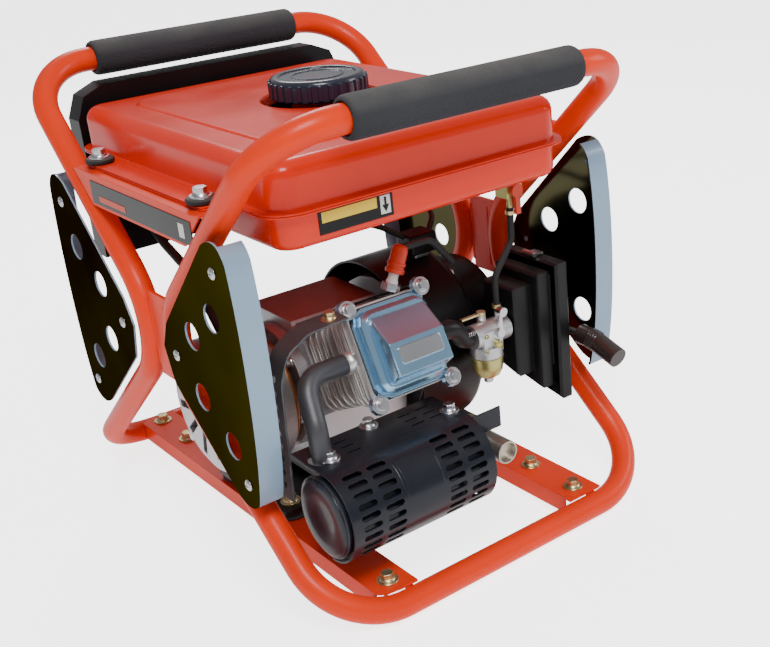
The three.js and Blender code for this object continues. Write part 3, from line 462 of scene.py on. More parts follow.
def coated(name, colour, roughness, metallic=0.0, *, tone=0.12, fine=500.0, broad=14.0, relief=0.06,
           coat=0.0, shine=0.35, edge_tint=1.0, edge=0.8, rubbed=None, dust=0.12, pattern=None,
           pattern_scale=100.0, pattern_relief=0.4):
    """A finish: base colour that drifts, rubbed corners, a little dust, and its own relief."""
    material = bpy.data.materials.new(name)
    material.use_nodes = True
    material.diffuse_color = (*colour, 1)
    tree = material.node_tree
    links = tree.links
    shader = tree.nodes["Principled BSDF"]
    grain = placed_group(tree, "grain", Fine_Scale=fine, Broad_Scale=broad)
    edges = placed_group(tree, "soft_edges", Radius=edge * MM, Scale=70.0)
    dusty = placed_group(tree, "dust", Amount=dust, Scale=26.0)
    darker = tuple(c * (1 - tone) for c in colour)
    lighter = tuple(min(1.0, c * (1 + tone)) for c in colour)
    base = colour_mix(tree, grain.outputs["Broad"], darker, lighter)
    if rubbed:
        base = colour_mix(tree, edges.outputs["Rubbed"], base, rubbed)
    base = colour_mix(tree, dusty.outputs["Mask"], base, DUST_COLOUR)
    links.new(base, shader.inputs["Base Color"])
    uneven = tree.nodes.new("ShaderNodeMapRange")
    uneven.inputs["To Min"].default_value = max(0.03, roughness - 0.07)
    uneven.inputs["To Max"].default_value = min(1.0, roughness + 0.09)
    links.new(grain.outputs["Broad"], uneven.inputs["Value"])
    links.new(uneven.outputs["Result"], shader.inputs["Roughness"])
    shader.inputs["Metallic"].default_value = metallic
    shader.inputs["Specular IOR Level"].default_value = shine
    shader.inputs["Specular Tint"].default_value = (edge_tint, edge_tint, edge_tint, 1)
    shader.inputs["Coat Weight"].default_value = coat
    shader.inputs["Coat Roughness"].default_value = 0.06
    bump = tree.nodes.new("ShaderNodeBump")
    bump.inputs["Strength"].default_value = relief
    bump.inputs["Distance"].default_value = 0.0004
    links.new(grain.outputs["Fine"], bump.inputs["Height"])
    links.new(edges.outputs["Normal"], bump.inputs["Normal"])
    surface = bump.outputs["Normal"]
    if pattern:
        relief_node = tree.nodes.new("ShaderNodeBump")
        relief_node.inputs["Strength"].default_value = pattern_relief
        relief_node.inputs["Distance"].default_value = 0.0006
        links.new(pattern_height(tree, pattern, pattern_scale), relief_node.inputs["Height"])
        links.new(surface, relief_node.inputs["Normal"])
        surface = relief_node.outputs["Normal"]
    links.new(surface, shader.inputs["Normal"])
    return material


def finishes(colours):
    """Every finish of the machine by its plain name, without a number added after a dot."""
    made = [
        coated("frame_paint", tuple(colours.frame_paint), 0.34, coat=0.05, shine=0.22,
               relief=0.05, fine=260, rubbed=(0.30, 0.03, 0.01), edge=1.0, dust=0.02),
        coated("tank_paint", tuple(colours.tank_paint), 0.24, coat=0.12, shine=0.3, relief=0.03,
               fine=180, tone=0.08, edge=1.5, dust=0.02),
        coated("foam", (0.030, 0.031, 0.036), 0.92, fine=900, relief=0.6, tone=0.35, edge=1.5,
               pattern="cells", pattern_scale=420, pattern_relief=0.8, dust=0.3),
        # The guard faces' dark olive colour is a painted reflection of grass and ground in their
        # polished metal.
        coated("guard_face", tuple(colours.guard_face), 0.12, 1.0, edge_tint=0.3, fine=120,
               relief=0.03, tone=0.25, broad=7, dust=0.03),
        # The guard rims are grey; their blue is a painted reflection of the sky on the turned-in
        # flanges.
        coated("guard_rim", tuple(colours.guard_rim), 0.30, 0.15, coat=0.4, relief=0.05, edge=1.2,
               rubbed=BARE_STEEL),
        coated("black_plastic", (0.006, 0.006, 0.007), 0.34, shine=0.25, relief=0.25, fine=900,
               edge=1.0, rubbed=(0.04, 0.04, 0.04), dust=0.05),
        coated("black_sheet", (0.004, 0.004, 0.005), 0.30, shine=0.25, relief=0.05,
               rubbed=(0.09, 0.09, 0.09), dust=0.05),
        coated("rubber", (0.016, 0.016, 0.017), 0.62, relief=0.4, fine=700, dust=0.22),
        coated("grip_rubber", (0.018, 0.010, 0.010), 0.18, relief=0.05, coat=0.25),
        coated("cast_aluminium", (0.58, 0.59, 0.61), 0.42, 0.95, relief=0.5, fine=520, tone=0.2,
               edge=1.2, dust=0.2),
        coated("fin_aluminium", (0.78, 0.76, 0.74), 0.38, 0.9, relief=0.3, fine=420, tone=0.25,
               broad=30, edge=0.5, dust=0.1),
        coated("valve_cover_metal", tuple(colours.valve_cover), 0.20, 0.9, coat=0.2, relief=0.06,
               fine=300, edge=2.0, dust=0.05),
        coated("steel", (0.60, 0.60, 0.62), 0.28, 1.0, relief=0.08, edge=0.5, dust=0.08),
        coated("yellow_zinc", (0.62, 0.50, 0.26), 0.30, 0.95, relief=0.08, edge=0.5),
        coated("exhaust_steel", (0.085, 0.085, 0.095), 0.46, 0.6, relief=0.35, fine=420,
               tone=0.25, edge=0.8, rubbed=BARE_STEEL),
        coated("muffler_black", (0.006, 0.008, 0.015), 0.30, 0.1, relief=0.2, fine=520, coat=0.12,
               edge=0.8, rubbed=(0.06, 0.06, 0.07), dust=0.05),
        coated("outlet_steel", (0.52, 0.47, 0.40), 0.35, 0.9, relief=0.25, tone=0.3, broad=60),
        coated("copper", (0.55, 0.22, 0.08), 0.32, 0.85, relief=0.1, tone=0.25, pattern="bands",
               pattern_scale=160, pattern_relief=0.7, dust=0.05),
        coated("laminations", (0.30, 0.29, 0.29), 0.45, 0.85, pattern="bands", pattern_scale=260,
               pattern_relief=0.5),
        coated("brass", (0.48, 0.44, 0.17), 0.30, 0.85, relief=0.2, tone=0.2, edge=0.6),
        coated("signal_red", (0.62, 0.045, 0.015), 0.32, relief=0.1, edge=0.6),
        coated("cap_plastic", (0.010, 0.014, 0.032), 0.24, relief=0.15, coat=0.4, edge=0.8,
               dust=0.14),
        coated("grey_plastic", (0.22, 0.23, 0.245), 0.42, relief=0.2, fine=800),
        coated("pale_plastic", (0.62, 0.62, 0.60), 0.38, relief=0.15, dust=0.06),
        coated("label_yellow", (0.80, 0.56, 0.02), 0.35, relief=0.03, coat=0.3),
        coated("label_black", (0.005, 0.005, 0.006), 0.22, shine=0.25, relief=0.03, dust=0.03),
        coated("label_white", (0.75, 0.74, 0.70), 0.35, relief=0.03),
        coated("ceramic", (0.80, 0.79, 0.76), 0.20, relief=0.03, coat=0.5),
    ]
    return {material.name.split(".")[0]: material for material in made}


LOOK = {}  # finishes made so far, by name


def look(name):
    """A finish by name; all are made the first time one is asked for."""
    if not LOOK:
        LOOK.update(finishes(bpy.context.scene.generator_colours))
    return LOOK[name]


# ---------- pieces ----------
def piece(name, parts, body="frame", stands_for=(), sharp=32.0):
    """One named object from (bmesh, finish) pairs, smooth up to an angle, riding on a body."""
    mesh = bpy.data.meshes.new(name)
    whole = bmesh.new()
    names = []
    for part, finish_name in parts:
        if finish_name not in names:
            names.append(finish_name)
        for face in part.faces:
            face.material_index = names.index(finish_name)
            face.smooth = True
        passing = bpy.data.meshes.new("passing")
        part.to_mesh(passing)
        part.free()
        whole.from_mesh(passing)
        bpy.data.meshes.remove(passing)
    whole.to_mesh(mesh)
    whole.free()
    for finish_name in names:
        mesh.materials.append(look(finish_name))
    mesh.set_sharp_from_angle(angle=math.radians(sharp))
    made = bpy.data.objects.new(name, mesh)
    bpy.context.scene.collection.objects.link(made)
    even = made.modifiers.new("even shading", "WEIGHTED_NORMAL")
    even.keep_sharp = True
    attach(made, body)
    if stands_for:
        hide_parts(*stands_for)
    return made


def keep(finish_name, *nodes):
    """CAD nodes that stay as they are and get a finish."""
    for node in nodes:
        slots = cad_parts[node].data.materials
        slots.clear()
        slots.append(look(finish_name))


def redrawn(node, finish_name, body="frame", extra=()):
    """A CAD node shown as a smooth-shaded copy, with extra parts added."""
    return piece(f"{node}_shape", [(drawn(node), finish_name), *extra], body, (node,))


def all_way_round(count, make, start=0.0):
    """The parts that make(angle) returns at equal turns of a circle."""
    return [make(start + 2 * math.pi * k / count) for k in range(count)]


def tube_loop(side):
    """One closed tube loop: bottom rail, crossed legs and top bar."""
    ends = []
    for x, y, z, bend in (RAIL, WAIST, HANDLE):
        ends.append((x, side * y, z, bend))
    right = list(reversed(ends))
    left = [(-x, y, z, bend) for x, y, z, bend in ends]
    corners = left + right
    return pipe(route(*corners, steps=16), size("tube_radius"), closed=True, fineness=14)


class BuildFrame(Operator):
    """Bend the two tube loops and weld the waist gussets between them"""
    bl_idname = "generator.build_frame"
    bl_label = "Frame Loops"

    def execute(self, context):
        front = [(tube_loop(-1), "frame_paint")]
        for end in (-1, 1):
            x = end * WAIST[0]
            web = soften(slab((x - 2, -24, 186), (x + 2, 17, 274)), 0.8)
            front.append((web, "frame_paint"))
            for y in (-12.6, 17.0):
                bead = pipe(route((x, y, 196, 0), (x, y, 264, 0)), 2.6, fineness=3)
                front.append((bead, "frame_paint"))
        piece("front_tube_loop", front, stands_for=("frame_loop_front",))
        piece("rear_tube_loop", [(tube_loop(1), "frame_paint")], stands_for=("frame_loop_rear",))
        keep("frame_paint", "end_plate_left", "end_plate_right")
        keep("frame_paint", "base_channel_left", "base_channel_right")
        return {"FINISHED"}


class BuildGrips(Operator):
    """Slide the foam grips onto the two top bars"""
    bl_idname = "generator.build_grips"
    bl_label = "Foam Grips"

    def execute(self, context):
        half = size("grip_length") / 2
        outer = size("grip_radius")
        bore = 13.9
        rounding = [
            (outer - 4, half), (outer - 1.4, half - 0.9), (outer - 0.2, half - 3.5),
            (outer, half - 8),
        ]
        low_end = [(r, -h) for r, h in rounding]
        profile = [(bore, -half), *low_end, *reversed(rounding), (bore, half), (bore, -half)]
        for side, label in ((-1, "front"), (1, "rear")):
            where = stand((0, side * HANDLE[1], HANDLE[2]), X_AXIS)
            grip = piece(
                f"{label}_grip", [(turned(profile, where, 64), "foam")],
                stands_for=(f"foam_grip_{label}",), sharp=60,
            )
        return {"FINISHED"}


def quadratic(p0, p1, p2, steps=10):
    """Points along a quadratic curve, without its first."""
    points = []
    for k in range(1, steps + 1):
        t = k / steps
        points.append(tuple(
            (1 - t) ** 2 * a + 2 * t * (1 - t) * b + t * t * c for a, b, c in zip(p0, p1, p2)
        ))
    return points


def guard_outline(inset):
    """A side guard's outline in (y, z), its three outer edges drawn in by an inset."""
    outer = 196 - inset
    start = (136, 124)
    low = (181 - inset, 122 + inset)
    middle = (outer - 1, 231)
    high = (189 - inset, 350 - inset)
    end = (150, 360)
    return [
        (34, 236), (44, 200), start,
        *quadratic(start, (160, 104), low),
        *quadratic(low, (outer - 3, 160), middle),
        *quadratic(middle, (outer + 1, 300), high),
        *quadratic(high, (178, 376 - inset), end),
        (48, 262),
    ]


def side_guard(end, side):
    """A pressed guard: polished face sheet with four eyes and a rim turned in."""
    flip = Matrix.Rotation(math.pi, 4, "Z") if end < 0 else Matrix.Identity(4)
    across = side * end
    lying = flip @ stand((GUARD_X - 22, 0, 0), Z_AXIS) @ Matrix((
        (0, 0, 1, 0), (1, 0, 0, 0), (0, 1, 0, 0), (0, 0, 0, 1),
    ))

    def layer(outline, low, high):
        points = [(across * y, z) for y, z in outline]
        return cut_sheet(points, high - low, lying @ Matrix.Translation((0, 0, low * MM)))

    whole = layer(guard_outline(0), 0, 24)
    hollow = layer(guard_outline(2), -3, 22)
    away = [(20, 90), (150, 90), (178, 108), (178, 372), (140, 380), (20, 380)]
    pan = carve(carve(whole, hollow), layer(away, -4, 22))
    holes = []
    for places, r in ((GUARD_EYES, GUARD_EYE_R), (GUARD_SCREWS, 3.2)):
        for y, z in places:
            holes.append(rod(r, 20, lying @ stand((across * y, z, 12)), 48))
    return carve(pan, *holes)


class BuildGuards(Operator):
    """Press the four side guards and screw them on"""
    bl_idname = "generator.build_guards"
    bl_label = "Side Guards"

    def execute(self, context):
        for end, end_label in ((-1, "left"), (1, "right")):
            for side, side_label in ((-1, "front"), (1, "rear")):
                pan = side_guard(end, side)
                node = f"side_guard_{end_label}_{side_label}"
                # The rim finish's blue is a painted reflection of the sky on a grey rim.
                made = piece(f"{node}_pan", [(pan, "guard_rim")], stands_for=(node,), sharp=40)
                # Faces square to X get the guard-face finish, whose olive colour is a painted
                # reflection of grass and ground.
                made.data.materials.append(look("guard_face"))
                for face in made.data.polygons:
                    if abs(face.normal.x) > 0.9:
                        face.material_index = 1
                heads = [
                    (round_screw((end * 215, side * y, z), (end, 0, 0), 5.5), "steel")
                    for y, z in GUARD_SCREWS
                ]
                piece(f"{node}_screws", heads)
        return {"FINISHED"}


def rounded_box(x, y, z, corner, top=0.0, bottom=0.0):
    """A box with round upright corners and, if asked, round top or bottom edges."""
    bm = slab((x[0], y[0], z[0]), (x[1], y[1], z[1]))
    upright = [e for e in bm.edges if abs((e.verts[0].co - e.verts[1].co).z) > 1e-5]
    bmesh.ops.bevel(
        bm, geom=upright, offset=corner * MM, offset_type="OFFSET", segments=12,
        profile=0.5, affect="EDGES", clamp_overlap=True, material=-1,
    )
    for level, width in ((z[1], top), (z[0], bottom)):
        if width:
            rim = [e for e in bm.edges if all(abs(v.co.z - level * MM) < 1e-6 for v in e.verts)]
            bmesh.ops.bevel(
                bm, geom=rim, offset=width * MM, offset_type="OFFSET", segments=8,
                profile=0.5, affect="EDGES", clamp_overlap=True, material=-1,
            )
    return bm


def tank_wall(inset, z, top=0.0, bottom=0.0):
    """The tank's plan drawn in by an inset, between two heights."""
    return rounded_box(
        (TANK_X[0] + inset, TANK_X[1] - inset), (-TANK_Y + inset, TANK_Y - inset), z,
        24 - min(inset, 10), top, bottom,
    )


class BuildTank(Operator):
    """Press the two tank shells, with the filler recess, seam and mounting ears"""
    bl_idname = "generator.build_tank"
    bl_label = "Fuel Tank"

    def execute(self, context):
        bottom, seam, top = TANK_Z
        shell = tank_wall(2, (seam + 0.2, top - 2), top=14)
        panel = rounded_box((-128, 126), (-162, 162), (top - 12, top), 30, top=4)
        centre = (*CAP_AT, top)
        cap_r = size("cap_radius")
        recess = rod(cap_r + 6, 22, stand((*CAP_AT, top - 10)), 96, cap_r + 14)
        mouth = rod(26.5, 34, stand((*CAP_AT, top - 40)), 64)
        shell = carve(carve(shell, recess.copy()), mouth.copy())
        panel = carve(carve(panel, recess), mouth)
        neck = turned([
            (26.5, -12), (29, -12), (29, 6.5), (28.4, 8), (27, 8), (26.5, 7), (26.5, -12),
        ], stand(centre), 64)
        lip = soften(tank_wall(-6, (seam + 0.15, seam + 1.9)), 0.7)
        ears = self.ears(seam + 0.2, seam + 1.8)
        upper = [(part, "tank_paint") for part in (shell, panel, neck, lip, *ears)]
        piece("tank_upper", upper, stands_for=("tank_upper_shell",), sharp=28)
        tray = tank_wall(3, (bottom, seam - 0.2), bottom=9)
        rim = soften(tank_wall(-6, (seam - 2.0, seam - 0.15)), 0.7)
        low_ears = self.ears(seam - 1.9, seam - 0.2)
        lower = [(part, "tank_paint") for part in (tray, rim, *low_ears)]
        piece("tank_lower", lower, stands_for=("tank_lower_shell",), sharp=28)
        bolts = []
        for x, y in EAR_BOLTS:
            cushion = turned([
                (3.5, 0), (13, 0), (14, 1.5), (14, 4), (12.5, 5.4), (3.5, 5.4), (3.5, 0),
            ], stand((x, y, seam + 2)), 32)
            bolts.append((cushion, "rubber"))
            bolts.append((hex_bolt((x, y, seam + 7.4), Z_AXIS, size("bolt_size")), "steel"))
        piece("tank_bolts", bolts)
        self.build_label()
        return {"FINISHED"}

    def ears(self, low, high):
        """The flat tabs at both ends that the tank is bolted down by."""
        left = slab((-196, -122, low), (TANK_X[0] - 4.4, 122, high))
        right = slab((TANK_X[1] + 4.4, -122, low), (196, 122, high))
        return [soften(left, 0.6), soften(right, 0.6)]

    def build_label(self):
        """A plain caution plate on the tank's front face: no lettering."""
        face = -TANK_Y + 3
        plate = soften(slab((-128, face - 0.8, 355), (-52, face + 1, 377)), 0.3)
        field = soften(slab((-125, face - 1.1, 365), (-69, face - 0.4, 374.6)), 0.2)
        block = soften(slab((-65.5, face - 1.1, 358), (-55, face - 0.4, 374.6)), 0.2)
        shaft = slab((-61.4, face - 1.4, 366), (-59.2, face - 1.0, 373))
        upright = stand((-60.3, face - 1.0, 363), FRONT)
        head = cut_sheet([(0, -3.4), (3.6, 3.2), (-3.6, 3.2)], 0.4, upright)
        piece("caution_plate", [
            (plate, "label_black"), (field, "label_yellow"), (block, "label_white"),
            (shaft, "label_black"), (head, "label_black"),
        ])


class BuildCap(Operator):
    """Turn the fuel cap with its gripping ribs and seal"""
    bl_idname = "generator.build_cap"
    bl_label = "Fuel Cap"

    def execute(self, context):
        low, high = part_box("fuel_cap")
        foot, top = low.z / MM, high.z / MM
        outer = size("cap_radius")
        profile = [
            (0, foot + 10.2), (30.5, foot + 10.2), (30.5, foot), (outer - 2.5, foot),
            (outer - 1.8, foot + 0.8), (outer - 1.8, top - 6), (outer - 2.4, top - 3),
            (outer - 4, top - 0.8), (outer - 6.5, top), (39.5, top), (38.6, top - 0.6),
            (38, top - 1.7), (27, top - 1.7), (26.4, top - 1.0), (25, top - 0.9),
            (24.2, top - 1.7), (0, top - 1.5),
        ]
        where = stand((*CAP_AT, 0))
        cap = [(turned(profile, where, 96), "cap_plastic")]

        def rib(angle):
            turn = where @ Matrix.Rotation(angle, 4, "Z")
            low_corner = (outer - 3.4, -2.1, foot + 1.5)
            high_corner = (outer - 0.1, 2.1, top - 3.6)
            return soften(slab(low_corner, high_corner, turn), 1.2)

        cap += [(part, "cap_plastic") for part in all_way_round(30, rib)]
        piece("fuel_cap_moulding", cap, body="cap", stands_for=("fuel_cap",), sharp=40)
        keep("rubber", "cap_gasket")
        return {"FINISHED"}


class BuildFuelLine(Operator):
    """Fit the fuel tap, its lever and the hose to the carburettor"""
    bl_idname = "generator.build_fuel_line"
    bl_label = "Fuel Tap and Hose"

    def execute(self, context):
        x, y, z = TAP
        barb = turned([(0, 0), (3.2, 0), (2.6, 3), (3.2, 3), (2.6, 6), (2.6, 12), (0, 12)],
                      stand((x, y, z - 20)), 24)
        nut = soften(rod(9, 8, stand((x, y, z + 7.6)), 6), 0.6)
        redrawn("fuel_tap", "brass", extra=[(barb, "brass"), (nut, "brass")])
        redrawn("fuel_tap_lever", "signal_red", "tap_lever")
        hose_x = CARB[0] + 17
        line = route(
            (x, y, z - 20.3, 0), (x, y, 276, 22), (hose_x, CARB[1], 242, 22),
            (hose_x, CARB[1], CARB[2] + 20.3, 0), steps=14,
        )
        hose = [(pipe(line, 3.5, fineness=6), "rubber")]
        for at in ((x, y, z - 27), (hose_x, CARB[1], CARB[2] + 23)):
            hose.append((turned([
                (3.4, 0), (4.7, 0), (4.9, 0.4), (4.9, 3.6), (4.7, 4), (3.4, 4), (3.4, 0),
            ], stand(at), 28), "yellow_zinc"))
        piece("fuel_hose_run", hose, stands_for=("fuel_hose",))
        return {"FINISHED"}


def leaning_plate(half_x, half_y, corner, low, high, round_edge=0.6):
    """A plate square to the cylinder, between two distances from the crank axis."""
    outline = rounded_outline(-half_x, half_x, -half_y, half_y, corner, 6)
    place = LEANING @ Matrix.Translation((0, 0, low * MM))
    return soften(cut_sheet(outline, high - low, place), round_edge, 40, 2)


class BuildEngine(Operator):
    """Cast the crankcase, finned cylinder and head, with their bolts"""
    bl_idname = "generator.build_engine"
    bl_label = "Engine Block"

    def execute(self, context):
        axis = CRANK[1:]

        def cover_bolt(angle):
            at = (-103, axis[0] + 58 * math.cos(angle), axis[1] + 58 * math.sin(angle))
            return hex_bolt(at, (-1, 0, 0), 8, washer=False)

        cover_bolts = [(part, "steel") for part in all_way_round(6, cover_bolt, 0.3)]
        redrawn("crankcase", "cast_aluminium")
        redrawn("crankcase_side_cover", "cast_aluminium", extra=cover_bolts)
        keep("steel", "crankshaft")
        keep("cast_aluminium", "piston_with_pin")
        fins = [(drawn("cylinder_barrel"), "fin_aluminium")]
        for k in range(8):
            at = 69 + k * 6.5
            if k % 2 == 0:
                fins.append((leaning_plate(45, 45, 15, at, at + 1.8), "fin_aluminium"))
        piece("cylinder_fins", fins, stands_for=("cylinder_barrel",))
        head = [(drawn("cylinder_head"), "fin_aluminium")]
        for at in (131.5, 139.8, 148.8, 153.0):
            head.append((leaning_plate(45, 47, 12, at, at + 1.7), "fin_aluminium"))
        for a in (-34, 34):
            for b in (-37, 37):
                stud = rod(5.5, 26, stand((a, b, 131), Z_AXIS, LEANING), 20)
                head.append((stud, "cast_aluminium"))
        piece("cylinder_head_casting", head, stands_for=("cylinder_head",))
        self.valve_cover()
        keep("black_sheet", "engine_bed")
        mounts = []
        for x in CHANNEL_X:
            for y in MOUNT_Y:
                mounts.append((turned([
                    (12.1, 0.3), (17, 0.3), (17.6, 1.5), (15, 4), (17.6, 6.4), (17, 7.4),
                    (12.1, 7.4), (12.1, 0.3),
                ], stand((x, y, 28)), 36), "rubber"))
                bolt = hex_bolt((x, y, 41.7), Z_AXIS, size("bolt_size"))
                mounts.append((bolt, "yellow_zinc"))
        piece("engine_mounts", mounts)
        dip = [(drawn("oil_dipstick"), "black_plastic")]
        for k in range(8):
            turn = stand((-40, 64, 92), Y_AXIS) @ Matrix.Rotation(k * math.pi / 4, 4, "Z")
            ridge = soften(slab((11.2, -1.6, 0.5), (13.6, 1.6, 8.6), turn), 0.7)
            dip.append((ridge, "black_plastic"))
        piece("dipstick_knob", dip, body="dipstick", stands_for=("oil_dipstick",))
        return {"FINISHED"}

    def valve_cover(self):
        """The pressed cover with a raised crown, and its four flanged bolts."""
        base = HEAD_TOP
        cover = [(drawn("valve_cover"), "valve_cover_metal")]
        panel = cut_sheet(rounded_outline(-22, 26, -17, -1, 3, 5), 0.8,
                          LEANING @ Matrix.Translation((0, 0, (base + 33.8) * MM)))
        cover.append((soften(panel, 0.35, 40, 2), "steel"))
        for a in (-42, 42):
            for b in (-46, 46):
                cover.append((hex_bolt((a, b, base + 5), Z_AXIS, 9.5, LEANING), "steel"))
        seal = leaning_plate(42, 45, 14, base - 0.9, base + 0.2, 0.2)
        cover.append((seal, "rubber"))
        piece("valve_cover_pressing", cover, stands_for=("valve_cover",), sharp=24)


class BuildSpark(Operator):
    """Screw in the spark plug and push on its cap and lead"""
    bl_idname = "generator.build_spark"
    bl_label = "Spark Plug and Lead"

    def execute(self, context):
        root = Matrix.Translation(Vector(PLUG_SEAT) * MM) @ Matrix.Rotation(PLUG_TILT, 4, "Y")
        hexagon = soften(rod(9.5, 8, root, 6), 0.6)
        ceramic = turned([
            (0, 7.5), (6, 7.5), (6, 10), (5, 12), (4.8, 22), (4.2, 23), (4.2, 33), (0, 34),
        ], root, 32)
        piece("spark_plug_body", [(hexagon, "steel"), (ceramic, "ceramic")],
              stands_for=("spark_plug",))
        boot = turned([
            (5.7, 18), (9, 18), (9.5, 19), (9.5, 22), (8.2, 23), (8.2, 25), (9.2, 26), (9.2, 28),
            (8.2, 29), (8, 40), (7, 44), (4, 46), (0, 46), (0, 36), (5.7, 36), (5.7, 18),
        ], root, 40)
        run = route((-3, -134, 297, 0), (30, -132, 296, 18), (62, -122, 262, 0), steps=16)
        lead = pipe(run, 3.5)
        piece("plug_cap_and_cable", [(boot, "signal_red"), (lead, "rubber")],
              stands_for=("plug_cap_and_lead",))
        return {"FINISHED"}


class BuildWiring(Operator):
    """Hang the ignition coil at the blower and run the looms to the control box"""
    bl_idname = "generator.build_wiring"
    bl_label = "Ignition Coil and Looms"

    def execute(self, context):
        coil = soften(slab((58, -58, 252), (92, -30, 274)), 3)
        bracket = soften(slab((66, -52, 247), (84, -36, 253)), 0.8)
        parts = [(coil, "black_plastic"), (bracket, "steel")]
        runs = (
            ((88, -44, 264, 0), (120, -20, 284, 30), (96, 120, 262, 50), (60, 213, 300, 0), 3.2),
            ((62, -44, 270, 0), (30, -30, 292, 24), (10, 120, 250, 50), (20, 213, 290, 0), 3.2),
            ((-135, 8, 204, 0), (-135, 60, 262, 26), (-120, 150, 270, 30),
             (-110, 213, 286, 0), 5.0),
        )
        for *corners, radius in runs:
            parts.append((pipe(route(*corners, steps=14), radius, fineness=5), "rubber"))
        piece("coil_and_looms", parts)
        return {"FINISHED"}


class BuildBlower(Operator):
    """Form the blower shroud, the flywheel's vanes and the recoil starter"""
    bl_idname = "generator.build_blower"
    bl_label = "Blower and Starter"

    def execute(self, context):
        shaft = stand((0, CRANK[1], CRANK[2]), X_AXIS)
        cup = turned([
            (98, 16), (100.4, 16), (100, 17), (100, 88), (98.6, 93.5), (94, 98), (88, 100),
            (62, 100), (62, 98), (86, 98), (92, 96), (96.6, 92), (98, 86), (98, 16),
        ], shaft, 96)
        guide = slab((-46, 50, 66), (61.5, 51.6, 129), LEANING)
        piece("blower_housing", [(cup, "black_sheet"), (soften(guide, 0.5), "black_sheet")],
              stands_for=("blower_shroud",))
        redrawn("flywheel_fan", "cast_aluminium", "crank")
        cover = turned([
            (73.5, 100.3), (80, 100.3), (80, 103), (79, 104.4), (76.6, 105.2), (75.8, 107),
            (74.2, 143), (73, 148), (70, 152), (64, 156.6), (60, 158), (26, 158), (24, 160.5),
            (10, 161), (0, 161), (0, 155.5), (60, 155.5), (66, 152), (70, 148), (71.6, 143),
            (73.5, 100.3),
        ], shaft, 96)

        def louvre(angle):
            turn = shaft @ Matrix.Rotation(angle, 4, "Z")
            return slab((30, -3.2, 150), (56, 3.2, 166), turn)

        for vent in all_way_round(12, louvre):
            cover = carve(cover, vent)
        x, z = ROPE
        rope_line = Matrix.Translation((x * MM, 0, z * MM)) @ Matrix.Rotation(-math.pi / 2, 4, "X")
        arm = [
            soften(slab((156, -72, z - 12), (164, -40, z + 12)), 2.5),
            soften(slab((160, -98, z - 10), (172, -60, z + 10)), 3.5),
            turned([(4.8, -116), (7.6, -116), (9, -114.6), (9, -90), (4.8, -90), (4.8, -116)],
                   rope_line, 40),
        ]
        starter = [(cover, "black_sheet")] + [(part, "black_sheet") for part in arm]

        def rim_bolt(angle):
            at = (100, CRANK[1] + 84 * math.cos(angle), CRANK[2] + 84 * math.sin(angle))
            return hex_bolt(at, X_AXIS, 8, washer=False)

        starter += [(part, "steel") for part in all_way_round(4, rim_bolt, 0.5)]
        piece("starter_housing", starter, stands_for=("recoil_cover",))
        keep("grey_plastic", "starter_reel")
        self.pull_grip()
        return {"FINISHED"}

    def pull_grip(self):
        """The moulded pull grip on the end of the starter rope."""
        x, z = ROPE
        line = route((x, -186, z, 0), (x, -206, z - 1, 40), (x, -240, z - 12, 0), steps=16)
        grip = pipe(line, 10.8, fineness=10)
        collar = pipe(route((x, -184, z, 0), (x, -190, z, 0)), 8.2, fineness=8)
        ridges = []
        for k in (3, 7, 11, 15):
            step = (line[k + 1] - line[k]).normalized()
            ridges.append(turned([
                (8, -1.4), (10.9, -1.4), (11.4, -0.7), (11.4, 0.7), (10.9, 1.4), (8, 1.4),
                (8, -1.4),
            ], stand(line[k], step), 36))
        rope = pipe(route((x, -190, z, 0), (x, -104, z, 0)), 3.4, fineness=6)
        parts = [(grip, "grip_rubber"), (collar, "grip_rubber"), (rope, "rubber")]
        parts += [(ridge, "grip_rubber") for ridge in ridges]
        piece("pull_grip", parts, body="pull_handle", stands_for=("recoil_grip",), sharp=50)


class BuildIntake(Operator):
    """Fit the intake pipe, carburettor, its bowl, levers and spring"""
    bl_idname = "generator.build_intake"
    bl_label = "Carburettor"

    def execute(self, context):
        line = route(
            (10, -152, 207, 0), (34, -152, 207, 20), (46, -149, 190, 10),
            (54, -148, CARB[2] + 1, 0), steps=10,
        )
        elbow = [(pipe(line, 10, fineness=8), "black_plastic")]
        piece("intake_bend", elbow, stands_for=("intake_pipe",))
        x, y, z = CARB
        body = [(drawn("carburettor"), "cast_aluminium")]
        for dx, dz in ((-9, -14), (9, -14), (-9, 2)):
            body.append((round_screw((x + dx, y - 13, z + dz), FRONT, 2.6), "brass"))
        body.append((turned([(0, 0), (4.4, 0), (4.4, 4), (3.4, 5), (0, 5)],
                            stand((x + 4, y - 13, z - 9), FRONT), 24), "brass"))
        coil = []
        turns, per_turn, spring_r = 8, 14, 2.6
        for k in range(turns * per_turn + 1):
            turn = 2 * math.pi * k / per_turn
            across, up = spring_r * math.cos(turn), spring_r * math.sin(turn)
            coil.append(Vector((x - 20 - k * 0.17, y - 8 + across, z + 9 + up)))
        body.append((pipe(coil, 0.5, fineness=2), "steel"))
        piece("carburettor_casting", body, stands_for=("carburettor",))
        top = z - 24.3
        bowl = turned([
            (0, top - 24), (8, top - 24), (12.5, top - 21), (15.6, top - 15), (16.5, top - 9),
            (16.5, top - 2), (17.4, top - 1.6), (17.4, top), (0, top),
        ], stand((x, y, 0)), 56)
        plug = soften(rod(5.2, 7, stand((x, y, top - 30)), 6), 0.5)
        piece("carburettor_bowl", [(bowl, "brass"), (plug, "steel")], stands_for=("float_bowl",))
        redrawn("choke_lever", "steel", "choke")
        redrawn("throttle_arm", "yellow_zinc", "throttle")
        return {"FINISHED"}


